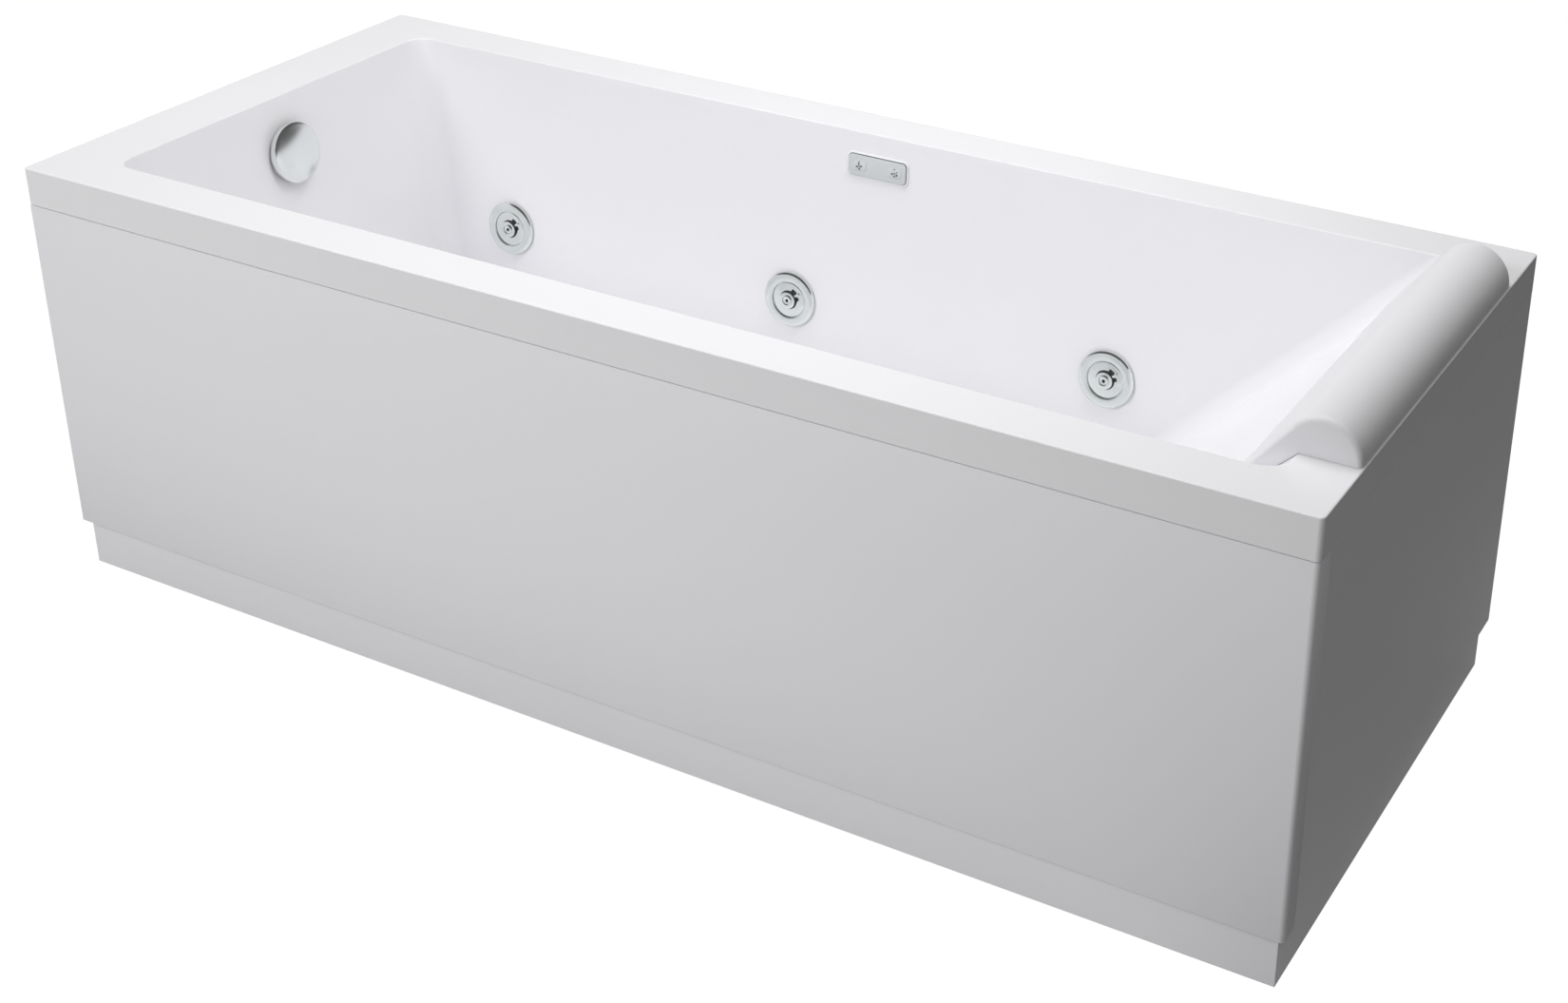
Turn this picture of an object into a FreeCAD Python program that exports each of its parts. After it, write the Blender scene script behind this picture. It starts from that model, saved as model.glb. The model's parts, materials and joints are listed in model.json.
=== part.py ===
import FreeCAD, Part
import math
import os
from FreeCAD import Vector as V

# Jetted bathtub, in millimetres. +X points to the head end with the headrest, -Y is the panelled front,
# +Y is the wall side, +Z is up. The origin is on the floor under the middle of the tub.

# --- tub shell -------------------------------------------------------------------------------------------
LENGTH = 1700.0
WIDTH = 700.0
HEIGHT = 567.0            # floor to the top of the rim
WALL = 5.0                # reinforced acrylic sheet
FASCIA = 48.5             # height of the turned-down edge of the rim
RIM_LONG = 65.0           # rim width along both long sides
RIM_FOOT = 88.0
RIM_HEAD = 67.0
FLOOR_Z = 147.0           # ground to basin floor: room for the trap, board and frame
LONG_TILT = 5.3           # degrees that each basin wall leans out from upright
FOOT_TILT = 9.0
HEAD_TILT = 46.0          # backrest
BASIN_CORNER_R = 25.0
FLOOR_R = 30.0
FASCIA_CORNER_R = 6.0
RIM_EDGE_R = 3.0
OPENING_EDGE_R = 4.0

# --- panels and plinths ----------------------------------------------------------------------------------
PANEL_T = 4.0
PANEL_SETBACK = 1.0       # panel face behind the fascia face
PANEL_SEAM = 1.5          # gap under the fascia
PANEL_BOTTOM = 65.0
PANEL_WRAP = 30.0         # the front panel turns the head-end corner by this much
PANEL_CORNER_R = 6.0
BUTT_GAP = 0.6            # joint between two panels
PLINTH_RECESS = 9.0       # plinth face behind the fascia face
PLINTH_T = 4.0
PLINTH_H = 80.0           # it runs up behind the panels

# --- frame -----------------------------------------------------------------------------------------------
BOARD_T = 18.0
BOARD_INSET = 22.0        # board edge inside the flat of the basin floor
RAIL = 25.0               # square tube
RAIL_WALL = 2.0
RAIL_INSET = 38.0         # middle of a rail in from the tub's side
END_MEMBER_INSET = 40.0   # end cross members in from the tub's ends
WASTE_MEMBER_IN = 410.0   # cross member past the waste, in from the foot end
PUMP_MEMBER_IN = 650.0    # cross member before the pump, in from the head end
POST = 20.0

# --- feet and clips --------------------------------------------------------------------------------------
FOOT_PAD_R = 20.0
FOOT_PAD_H = 8.0
FOOT_STUD_R = 5.0
STUD_RISE = 14.0          # stud above the rail's underside
NUT_FLATS = 17.0
NUT_H = 8.0
FOOT_INSET = 47.0
CLIP_EYE = 10.0           # half width of a plinth clip round its stud
CLIP_W = 36.0
CLIP_H = 16.0
PANEL_CLIP_PITCH = 400.0
PANEL_CLIP_COUNT = 4
END_CLIP_PITCH = 300.0
RIM_CLIP_T = 8.0
RIM_CLIP_LAP = 28.0       # how far a rim clip reaches down behind a panel
BRACKET_W = 60.0
BRACKET_H = 62.0
BRACKET_T = 3.0
BRACKET_END_IN = 350.0    # bracket in from the tub's end
BRACKET_HOLE_R = 3.0
BRACKET_HOLE_PITCH = 34.0
BRACKET_LAP = 30.0
BRACKET_GAP = 0.3

# --- jets ------------------------------------------------------------------------------------------------
JET_FOOT_IN = 254.0       # first jet of a row in from the foot end
JET_HEAD_IN = 500.0       # last jet of a row in from the head end
JET_LIFT = 167.0          # jets above the basin floor
JETS_PER_SIDE = 3
JET_RING_R = 38.5
JET_RING_H = 6.0
JET_RING_SLOPE = 4.0      # sloped border of the ring's face
JET_RING_CROWN = 1.2
JET_RING_FALL = 1.5
JET_RING_DROP = 3.5
JET_GASKET_T = 1.0
JET_GASKET_IN = 2.0       # gasket edge inside the ring's
JET_NECK_R = 24.0
JET_NECK_BORE = 20.0
JET_NECK_L = 19.0         # neck behind the flange
JET_HOLE_CLEAR = 1.0
JET_DIAL_R = 25.4
JET_DIAL_T = 1.8          # its face lies below the ring's
JET_DIAL_EDGE = 0.8
JET_DIAL_SEAT = 3.0       # depth of the dial's recess in the ring
JET_BOSS_R = 12.0
JET_BOSS_H = 4.2          # boss above the dial's face
JET_BOSS_FLARE = 1.5
JET_PIN_R = 2.0           # two holes for the dial's key
JET_PIN_DEEP = 1.0
JET_PIN_OUT = 16.0
JET_PIN_TILTS = (14.0, 57.0)
JET_RIDGE_W = 3.0         # finger ridge
JET_RIDGE_H = 1.2
JET_RIDGE_IN = 3.0        # ridge end inside the dial's edge
JET_RIDGE_TILT = 35.0
JET_THROAT_R = 7.2
JET_SNAP_T = 2.0
JET_SNAP_LIP = 1.4
JET_BALL_R = 9.0
JET_BALL_SINK = 6.5       # ball centre under the boss's face
JET_TIP_R = 4.6
JET_TIP_BORE = 3.2
JET_TIP_OUT = 3.6         # tip past the boss's face
JET_BODY_R = 29.0
JET_BODY_L = 46.0
JET_BODY_WALL = 4.0
JET_BODY_STEP = 1.5       # stop for the ring's neck
JET_FLANGE_R = 36.0
JET_PORT_DEPTH = 32.0     # water and air ports, behind the basin face of the wall
JET_PORT_REACH = 40.0
JET_AIR_REACH = 44.0
RUN_FIT = 0.05            # radial clearance of every turning fit

# --- pipes and pump --------------------------------------------------------------------------------------
PIPE_R = 16.0
PIPE_BORE = 12.5
PIPE_STRAIGHT = 90.0      # straight run out of a row's last jet
PIPE_BEND_R = 150.0
PIPE_END_BEND_R = 70.0    # bend into the pump's tee
AIR_R = 8.0
AIR_BORE = 6.0
INTAKE_R = 14.0
INTAKE_L = 50.0
INTAKE_PAST = 70.0        # air intake beyond the last jet
PUMP_HEAD_IN = 180.0      # shaft in from the head end
PUMP_LIFT = 25.0          # motor underside above the shelf
SHELF_T = 3.0
SHELF_LENGTH = 180.0
MOTOR_R = 80.0
MOTOR_L = 240.0
MOTOR_WALL = 6.0
MOTOR_FRONT_Y = -70.0     # motor face on the volute's side
FIN_COUNT = 8
FIN_PITCH = 18.0
FIN_T = 3.0
FIN_H = 4.0
TERMINAL_W = 60.0         # terminal box on the motor
TERMINAL_L = 70.0
TERMINAL_H = 22.0
SHAFT_R = 8.0
VOLUTE_R = 75.0
VOLUTE_L = 80.0
VOLUTE_WALL = 8.0
IMPELLER_R = 50.0
IMPELLER_T = 6.0
IMPELLER_CLEAR = 6.0
VANE_COUNT = 6
VANE_H = 16.0
VANE_T = 4.0
VANE_SINK = 1.0           # vane into its disc, and in from the disc's edge
ROTOR_R = 45.0
ROTOR_L = 150.0
INLET_R = 25.0
INLET_BORE = 21.0
INLET_L = 35.0
OUTLET_X = 45.0           # pump outlet beside the shaft
TEE_RISE = 128.0          # tee above the shaft
TEE_ARM = 40.0
TEE_WALL = 4.0            # riser and tee outside the pipe's radius
CRADLE_T = 4.0
CRADLE_W = 150.0
CRADLE_L = 190.0
SADDLE_T = 10.0
SADDLE_DROP = 28.0        # saddle top under the shaft
SUCTION_HEAD_IN = 650.0
SUCTION_LIFT = 88.0       # above the basin floor
SUCTION_GRILLE_R = 52.0
SUCTION_GRILLE_H = 12.0
GRILLE_LIFT = 0.3         # cover off the wall
GRILLE_SIDE = 4.0         # upright edge of the dome
GRILLE_BROW = 9.0         # height of the dome's upper edge
GRILLE_CROWN = 12.0       # flat top in from the edge
GRILLE_SKIN = 3.0
GRILLE_WEB = 6.0
GRILLE_WEB_END = 1.0
SUCTION_SLOT_W = 4.0
SUCTION_SLOT_PITCH = 9.0
SUCTION_SLOTS = 9
SUCTION_BODY_R = 40.0
SUCTION_BODY_L = 60.0
SUCTION_NECK_R = 32.0
SUCTION_REACH = 52.0
SUCTION_WALL = 4.0
SUCTION_STRAIGHT = 120.0
SUCTION_BEND_R = 200.0
SUCTION_END_BEND_R = 60.0

# --- controls --------------------------------------------------------------------------------------------
KEYPAD_X = 2.5
KEYPAD_DROP = 45.0        # middle of the keypad under the rim
KEYPAD_W = 92.0
KEYPAD_H = 35.0
KEYPAD_CORNER_R = 8.0
KEYPAD_T = 3.2
KEYPAD_EDGE_R = 1.0
KEYPAD_ROOT = 1.0         # housing into the plate
KEYPAD_LIP = 6.0          # plate past its housing, left and right
KEYPAD_LIP_Y = 4.0
KEYPAD_DEEP = 20.0        # housing behind the wall's basin face
KEYPAD_SHELL = 2.0
KEY_W = 20.0
KEY_H = 13.0
KEY_X = 26.5
KEY_CORNER_R = 3.0
KEY_PROUD = 0.6
KEY_FLANGE = 1.0
KEY_FLANGE_T = 1.6
KEY_TRAVEL = 1.0
KEY_STEM_R = 2.0
SWITCH_HALF = 3.0
SWITCH_GAP = 0.2          # stem over its switch at full travel
KEY_GAP = 0.15            # side gap of a key in its window
BOARD_THICK = 1.6
BOX_X = 60.0
BOX_Y = 110.0
BOX_Z = 160.0
BOX_BASE_Z = 190.0
BOX_WALL = 3.0
LID_T = 3.0
GLAND_R = 9.0
GLAND_THREAD_R = 7.0
GLAND_BORE = 3.75
GLAND_L = 20.0
CABLE_R = 3.0
KEYPAD_CABLE_OUT = 18.0   # straight start of the cable behind the keypad
CABLE_RUN = 90.0          # then along the wall
CABLE_FALL = 2.0
CABLE_BEFORE = 130.0      # bend before the control box
CABLE_BEFORE_UP = 100.0
CABLE_OVER = 75.0
CABLE_FIRST_R = 12.0
CABLE_TURN_R = 60.0
CABLE_SWEEP_R = 90.0
CABLE_DROP_R = 55.0

# --- overflow and waste ----------------------------------------------------------------------------------
OVERFLOW_DROP = 78.0      # middle of the overflow under the rim
KNOB_R = 41.0
KNOB_OUT = 20.0           # knob face in front of the wall
KNOB_GAP = 5.0            # skirt off the wall, where water enters
KNOB_WALL = 2.5
KNOB_FACE_T = 3.5
KNOB_DISH = 1.5
KNOB_EDGE_R = 2.0
ROSETTE_R = 34.0
ROSETTE_T = 4.0
ROSETTE_HOLES = 6
ROSETTE_HOLE_R = 5.0
ROSETTE_PCD_R = 18.0
KNOB_SHAFT_R = 5.0
SHAFT_ROOT = 0.5          # shaft into the knob's face
BEARING_WALL = 4.0
CABLE_DRUM_R = 7.6
CABLE_DRUM_T = 6.0
ELBOW_NECK_R = 26.0
ELBOW_R = 30.0
ELBOW_L = 42.0
ELBOW_WALL = 3.0
ELBOW_PORT_DEPTH = 27.0
ELBOW_PORT_REACH = 50.0
HOSE_R = 18.0
HOSE_BORE = 15.0
HOSE_BEND_R = 42.0
WASTE_FOOT_IN = 290.0     # in from the foot end
WASTE_FLANGE_R = 35.0
WASTE_FLANGE_T = 2.5
WASTE_NECK_R = 27.0
WASTE_BORE = 24.5
WASTE_NECK_L = 40.0
SPIDER_H = 8.0
SPIDER_WALL = 3.0
SPIDER_ARM_T = 3.0
SPIDER_ARMS = 3
SPIDER_ROOT = 1.0
PLUG_R = 31.0
PLUG_T = 4.0
PLUG_REST = 0.3           # plug above its flange when closed
PLUG_STEM_R = 4.0
PLUG_STEM_PAST = 6.0      # stem under the neck
PLUG_SEAL_T = 4.0         # tapered seal under the plug
PLUG_SEAL_IN = 3.0
PLUG_SEAL_GAP = 1.0       # seal off the bore
PLUG_BAND = 1.0
PLUG_EDGE_DROP = 0.8
PLUG_EDGE_IN = 3.0
PLUG_FACE_IN = 9.0
TRAP_COLLAR_R = 38.0
TRAP_COLLAR_H = 8.0
TRAP_BARREL_R = 31.0
TRAP_CUP_R = 42.0
TRAP_CUP_TOP = 95.0
TRAP_BOTTOM = 28.0
TRAP_WALL = 3.0
TRAP_PORT_Z = 62.0
TRAP_BAFFLE_WALL = 4.0
TRAP_INLET_REACH = 62.0
TRAP_OUTLET_R = 20.0
TRAP_OUTLET_REACH = 110.0
TRAP_SPIGOT_L = 50.0      # free end that the waste pipe goes over
TRAP_SHOULDER_R = 24.0
CORD_R = 3.5              # control cable
CORD_Y = 16.0             # where it enters the trap
CORD_DEPTH = -17.0
CORD_GLAND_END = 34.0
CORD_GLAND_L = 4.0
CORD_GLAND_WALL = 2.0
CORD_GLAND_START = 10.0
CORD_CLEAR = 3.0          # cable beside the overflow hose
CORD_DROP_R = 36.0
CORD_RUN_R = 60.0
CORD_APPROACH = 34.0

# --- headrest --------------------------------------------------------------------------------------------
REST_LENGTH = 488.0
REST_CLEAR = 0.3
REST_OUTER = 2.0          # back edge in from the tub's end
REST_CREST = 45.0         # top above the rim
REST_ROLL_R = 42.0        # its round back
REST_NOSE = 82.0          # front of the cushion past the rim's inner edge, along the backrest
REST_EDGE_R = 7.0
REST_TIP = 12.0           # thickness of the rounded front edge
REST_TIP_RUN = 4.0
REST_BRIDGE = 3.0         # bulge of that edge
REST_BRIDGE_RUN = 2.5

# --- worked-out places -----------------------------------------------------------------------------------
DEPTH = HEIGHT - FLOOR_Z
END_X = LENGTH / 2
SIDE_Y = WIDTH / 2
BOARD_TOP = FLOOR_Z - WALL
RAIL_TOP = BOARD_TOP - BOARD_T
RAIL_BOTTOM = RAIL_TOP - RAIL
RIM_UNDER = HEIGHT - WALL
FASCIA_BOTTOM = HEIGHT - FASCIA
PANEL_TOP = FASCIA_BOTTOM - PANEL_SEAM
PANEL_X = END_X - PANEL_SETBACK
PANEL_Y = SIDE_Y - PANEL_SETBACK
PLINTH_X = END_X - PLINTH_RECESS
PLINTH_Y = SIDE_Y - PLINTH_RECESS
END_MEMBER_X = END_X - END_MEMBER_INSET
MIDDLE_MEMBER_X = (-END_X + WASTE_MEMBER_IN, END_X - PUMP_MEMBER_IN)
RAIL_Y = SIDE_Y - RAIL_INSET
FOOT_X = END_X - FOOT_INSET
BRACKET_X = END_X - BRACKET_END_IN
JET_Z = FLOOR_Z + JET_LIFT
JET_PITCH = (LENGTH - JET_FOOT_IN - JET_HEAD_IN) / (JETS_PER_SIDE - 1)
SUCTION_X = END_X - SUCTION_HEAD_IN
SUCTION_Z = FLOOR_Z + SUCTION_LIFT
KEYPAD_Z = HEIGHT - KEYPAD_DROP
OVERFLOW_Z = HEIGHT - OVERFLOW_DROP
WASTE_X = -END_X + WASTE_FOOT_IN
SHELF_TOP = RAIL_TOP + SHELF_T
PUMP_X = END_X - PUMP_HEAD_IN
PUMP_Z = SHELF_TOP + PUMP_LIFT + MOTOR_R
TEE_Z = PUMP_Z + TEE_RISE
TEE_R = PIPE_R + TEE_WALL
MOTOR_BACK_Y = MOTOR_FRONT_Y + MOTOR_L
VOLUTE_FRONT_Y = MOTOR_FRONT_Y - VOLUTE_L
OPEN_TOP = 20.0           # cutting forms run this far past the rim


# --- small helpers ---------------------------------------------------------------------------------------
def tan(degrees):
    return math.tan(math.radians(degrees))


def cos(degrees):
    return math.cos(math.radians(degrees))


def sin(degrees):
    return math.sin(math.radians(degrees))


def box(x0, x1, y0, y1, z0, z1):
    return Part.makeBox(x1 - x0, y1 - y0, z1 - z0, V(x0, y0, z0))


def cylinder(radius, z0, z1, x=0.0, y=0.0):
    return Part.makeCylinder(radius, z1 - z0, V(x, y, z0))


def ring(outer, inner, z0, z1):
    return cylinder(outer, z0, z1).cut(cylinder(inner, z0, z1))


def rod(radius, start, end):
    return Part.makeCylinder(radius, (end - start).Length, start, end - start)


def rounded_box(width, height, radius, z0, z1):
    block = box(-width / 2, width / 2, -height / 2, height / 2, z0, z1)
    upright = [e for e in block.Edges if abs(e.Vertexes[0].Z - e.Vertexes[1].Z) > (z1 - z0) / 2]
    return block.makeFillet(radius, upright)


def hollow_bar(x0, x1, y0, y1, z0, z1, wall, along):
    """A square tube whose open ends face along X, Y or Z."""
    less = [wall if along != axis else 0.0 for axis in "XYZ"]
    inner = box(x0 + less[0], x1 - less[0], y0 + less[1], y1 - less[1], z0 + less[2], z1 - less[2])
    return box(x0, x1, y0, y1, z0, z1).cut(inner)


def bent_path(points, radii):
    """Straight runs joined by tangent arcs."""
    edges = []
    here = points[0]
    for i in range(1, len(points) - 1):
        corner = points[i]
        back = (points[i - 1] - corner).normalize()
        ahead = (points[i + 1] - corner).normalize()
        half = (math.pi - back.getAngle(ahead)) / 2
        reach = radii[i - 1] * math.tan(half)
        first = corner + back * reach
        last = corner + ahead * reach
        inward = (back + ahead).normalize()
        middle = corner + inward * (radii[i - 1] / math.cos(half) - radii[i - 1])
        edges.append(Part.LineSegment(here, first).toShape())
        edges.append(Part.Arc(first, middle, last).toShape())
        here = last
    edges.append(Part.LineSegment(here, points[-1]).toShape())
    return Part.Wire(edges)


def sweep(points, radii, radius):
    path = bent_path(points, radii)
    start = points[0]
    circle = Part.makeCircle(radius, start, points[1] - start)
    return path.makePipeShell([Part.Wire([circle])], True, False)


def hose(points, radii, outer, inner):
    return sweep(points, radii, outer).cut(sweep(points, radii, inner))


def placed(shape, placement):
    moved = shape.copy()
    moved.Placement = placement.multiply(moved.Placement)
    return moved


def wall_frame(point, normal, up):
    """Local +Z points into the basin, local +Y up along the wall."""
    side = up.cross(normal)
    matrix = FreeCAD.Matrix(side.x, up.x, normal.x, point.x,
                            side.y, up.y, normal.y, point.y,
                            side.z, up.z, normal.z, point.z,
                            0, 0, 0, 1)
    return FreeCAD.Placement(matrix)


def group(shapes):
    return Part.makeCompound(shapes)


def polygon(corners):
    return Part.Face(Part.makePolygon(corners + corners[:1]))


# --- basin walls -----------------------------------------------------------------------------------------
def foot_wall_x(z, grow=0.0):
    return -END_X + RIM_FOOT + (HEIGHT - z) * tan(FOOT_TILT) - grow / cos(FOOT_TILT)


def head_wall_x(z, grow=0.0):
    return END_X - RIM_HEAD - (HEIGHT - z) * tan(HEAD_TILT) + grow / cos(HEAD_TILT)


def long_wall_y(z, grow=0.0):
    return SIDE_Y - RIM_LONG - (HEIGHT - z) * tan(LONG_TILT) + grow / cos(LONG_TILT)


def long_wall_frame(x, z, side):
    """Place on a long wall: side is +1 for the wall side and -1 for the front."""
    point = V(x, side * long_wall_y(z), z)
    normal = V(0, -side * cos(LONG_TILT), sin(LONG_TILT))
    up = V(0, side * sin(LONG_TILT), cos(LONG_TILT))
    return wall_frame(point, normal, up)


def foot_wall_frame(z):
    point = V(foot_wall_x(z), 0, z)
    normal = V(cos(FOOT_TILT), 0, sin(FOOT_TILT))
    up = V(-sin(FOOT_TILT), 0, cos(FOOT_TILT))
    return wall_frame(point, normal, up)


def jet_places():
    """Frames of all jets: wall side first, each row from the foot end."""
    frames = []
    for side in (1, -1):
        for i in range(JETS_PER_SIDE):
            x = -END_X + JET_FOOT_IN + i * JET_PITCH
            frames.append(long_wall_frame(x, JET_Z, side))
    return frames


# --- tub shell -------------------------------------------------------------------------------------------
def basin_form(grow, top):
    """The basin's hollow, grown outwards by a wall's thickness."""
    low = FLOOR_Z - grow
    side_low = long_wall_y(low, grow)
    side_top = long_wall_y(top, grow)
    lengthwise = [V(foot_wall_x(low, grow), -SIDE_Y, low), V(head_wall_x(low, grow), -SIDE_Y, low),
                  V(head_wall_x(top, grow), -SIDE_Y, top), V(foot_wall_x(top, grow), -SIDE_Y, top)]
    across = [V(-END_X, -side_low, low), V(-END_X, side_low, low),
              V(-END_X, side_top, top), V(-END_X, -side_top, top)]
    form = polygon(lengthwise).extrude(V(0, WIDTH, 0)).common(polygon(across).extrude(V(LENGTH, 0, 0)))
    slanted = [e for e in form.Edges if abs(e.Vertexes[0].Z - e.Vertexes[1].Z) > DEPTH / 2]
    form = form.makeFillet(BASIN_CORNER_R + grow, slanted)
    around = [e for e in form.Edges if all(abs(v.Z - low) < 0.01 for v in e.Vertexes)]
    return form.makeFillet(FLOOR_R + grow, around)


def upright_edges(shape, x, y):
    found = []
    for edge in shape.Edges:
        a, b = edge.Vertexes[0].Point, edge.Vertexes[-1].Point
        if abs(a.z - b.z) > WALL / 2 and abs(abs(a.x) - x) < 0.01 and abs(abs(a.y) - y) < 0.01:
            found.append(edge)
    return found


def rim_block(inset, bottom, top, radius):
    x = END_X - inset
    y = SIDE_Y - inset
    block = box(-x, x, -y, y, bottom, top)
    return block.makeFillet(radius, upright_edges(block, x, y))


def wall_holes():
    """Everything that is drilled through the basin walls."""
    deep = -3 * WALL
    high = 2 * WALL
    holes = []
    for frame in jet_places():
        holes.append(placed(cylinder(JET_NECK_R + JET_HOLE_CLEAR, deep, high), frame))
    suction = cylinder(SUCTION_NECK_R + JET_HOLE_CLEAR, deep, high)
    holes.append(placed(suction, long_wall_frame(SUCTION_X, SUCTION_Z, -1)))
    pad_w = KEYPAD_W - 2 * KEYPAD_LIP + JET_HOLE_CLEAR
    pad_h = KEYPAD_H - 2 * KEYPAD_LIP_Y + JET_HOLE_CLEAR
    pad = rounded_box(pad_w, pad_h, KEY_CORNER_R, deep, high)
    holes.append(placed(pad, long_wall_frame(KEYPAD_X, KEYPAD_Z, 1)))
    overflow = cylinder(ELBOW_NECK_R + JET_HOLE_CLEAR, deep, high)
    holes.append(placed(overflow, foot_wall_frame(OVERFLOW_Z)))
    holes.append(cylinder(WASTE_NECK_R + JET_HOLE_CLEAR, FLOOR_Z + deep, FLOOR_Z + high, WASTE_X))
    return holes


def tub_shell():
    rim = rim_block(0.0, FASCIA_BOTTOM, HEIGHT, FASCIA_CORNER_R)
    around = [e for e in rim.Edges if all(abs(v.Z - HEIGHT) < 0.01 for v in e.Vertexes)]
    rim = rim.makeFillet(RIM_EDGE_R, around)
    inner_r = max(FASCIA_CORNER_R - WALL, 1.0)
    rim = rim.cut(rim_block(WALL, FASCIA_BOTTOM, RIM_UNDER, inner_r))
    shell = rim.fuse(basin_form(WALL, HEIGHT - RIM_EDGE_R))
    shell = shell.cut(basin_form(0.0, HEIGHT + OPEN_TOP))
    opening = []
    for edge in shell.Edges:
        box_of = edge.BoundBox
        flat = box_of.ZMin > HEIGHT - 0.01
        inside = max(abs(box_of.YMin), abs(box_of.YMax)) < SIDE_Y - RIM_LONG + 1.0
        if flat and inside:
            opening.append(edge)
    shell = shell.makeFillet(OPENING_EDGE_R, opening)
    for hole in wall_holes():
        shell = shell.cut(hole)
    return shell


# --- panels and plinths ----------------------------------------------------------------------------------
def front_panel():
    """Flat front that turns the head-end corner with a short return."""
    outer = box(-PANEL_X, PANEL_X, -PANEL_Y, -PANEL_Y + PANEL_WRAP, PANEL_BOTTOM, PANEL_TOP)
    corner = [e for e in upright_edges(outer, PANEL_X, PANEL_Y) if e.Vertexes[0].X > 0]
    outer = outer.makeFillet(PANEL_CORNER_R, corner)
    hollow = box(-PANEL_X - 1, PANEL_X - PANEL_T, -PANEL_Y + PANEL_T, SIDE_Y, PANEL_BOTTOM, PANEL_TOP)
    inside = [e for e in hollow.Edges if e.Length > PANEL_BOTTOM
              and abs(e.Vertexes[0].Z - e.Vertexes[1].Z) > 1
              and e.CenterOfMass.x > 0 and e.CenterOfMass.y < 0]
    return outer.cut(hollow.makeFillet(PANEL_CORNER_R - PANEL_T, inside))


def head_end_panel():
    start = -PANEL_Y + PANEL_WRAP + BUTT_GAP
    return box(PANEL_X - PANEL_T, PANEL_X, start, PANEL_Y, PANEL_BOTTOM, PANEL_TOP)


def foot_end_panel():
    start = -PANEL_Y + PANEL_T + BUTT_GAP
    return box(-PANEL_X, -PANEL_X + PANEL_T, start, PANEL_Y, PANEL_BOTTOM, PANEL_TOP)


def front_plinth():
    return box(-PLINTH_X, PLINTH_X, -PLINTH_Y, -PLINTH_Y + PLINTH_T, 0, PLINTH_H)


def end_plinth(side):
    outer = side * PLINTH_X
    inner = side * (PLINTH_X - PLINTH_T)
    start = -PLINTH_Y + PLINTH_T + BUTT_GAP
    return box(min(outer, inner), max(outer, inner), start, PLINTH_Y, 0, PLINTH_H)


# --- frame -----------------------------------------------------------------------------------------------
def base_board():
    x0 = foot_wall_x(FLOOR_Z) + BOARD_INSET
    x1 = head_wall_x(FLOOR_Z) - BOARD_INSET
    y = long_wall_y(FLOOR_Z) - BOARD_INSET
    board = box(x0, x1, -y, y, RAIL_TOP, BOARD_TOP)
    return board.cut(cylinder(TRAP_COLLAR_R + JET_HOLE_CLEAR, RAIL_TOP, BOARD_TOP, WASTE_X))


def frame_rails():
    half = END_MEMBER_X + RAIL / 2
    rails = []
    for y in (-RAIL_Y, RAIL_Y):
        rail = hollow_bar(-half, half, y - RAIL / 2, y + RAIL / 2, RAIL_BOTTOM, RAIL_TOP, RAIL_WALL, "X")
        for x in foot_places_x():
            rail = rail.cut(cylinder(FOOT_STUD_R, RAIL_BOTTOM, RAIL_BOTTOM + RAIL_WALL, x, y))
        rails.append(rail)
    return group(rails)


def cross_members():
    reach = RAIL_Y - RAIL / 2
    bars = []
    for x in (-END_MEMBER_X, END_MEMBER_X) + MIDDLE_MEMBER_X:
        bars.append(hollow_bar(x - RAIL / 2, x + RAIL / 2, -reach, reach,
                               RAIL_BOTTOM, RAIL_TOP, RAIL_WALL, "Y"))
    return group(bars)


def frame_posts():
    posts = []
    for x in (-END_MEMBER_X, END_MEMBER_X):
        for y in (-RAIL_Y, RAIL_Y):
            posts.append(hollow_bar(x - POST / 2, x + POST / 2, y - POST / 2, y + POST / 2,
                                    RAIL_TOP, RIM_UNDER, RAIL_WALL, "Z"))
    return group(posts)


def foot_places_x():
    return (-FOOT_X, 0.0, FOOT_X)


def levelling_feet():
    feet = []
    for x in foot_places_x():
        for y in (-RAIL_Y, RAIL_Y):
            pad = cylinder(FOOT_PAD_R, 0, FOOT_PAD_H, x, y)
            stud = cylinder(FOOT_STUD_R, FOOT_PAD_H, RAIL_BOTTOM + STUD_RISE, x, y)
            feet.append(pad.fuse(stud).removeSplitter())
    return group(feet)


def foot_nuts():
    corner = NUT_FLATS / 2 / cos(30)
    nuts = []
    for x in foot_places_x():
        for y in (-RAIL_Y, RAIL_Y):
            points = [V(x + corner * cos(60 * i), y + corner * sin(60 * i), RAIL_BOTTOM - NUT_H)
                      for i in range(7)]
            nut = Part.Face(Part.makePolygon(points)).extrude(V(0, 0, NUT_H))
            nuts.append(nut.cut(cylinder(FOOT_STUD_R, RAIL_BOTTOM - NUT_H, RAIL_BOTTOM, x, y)))
    return group(nuts)


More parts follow.
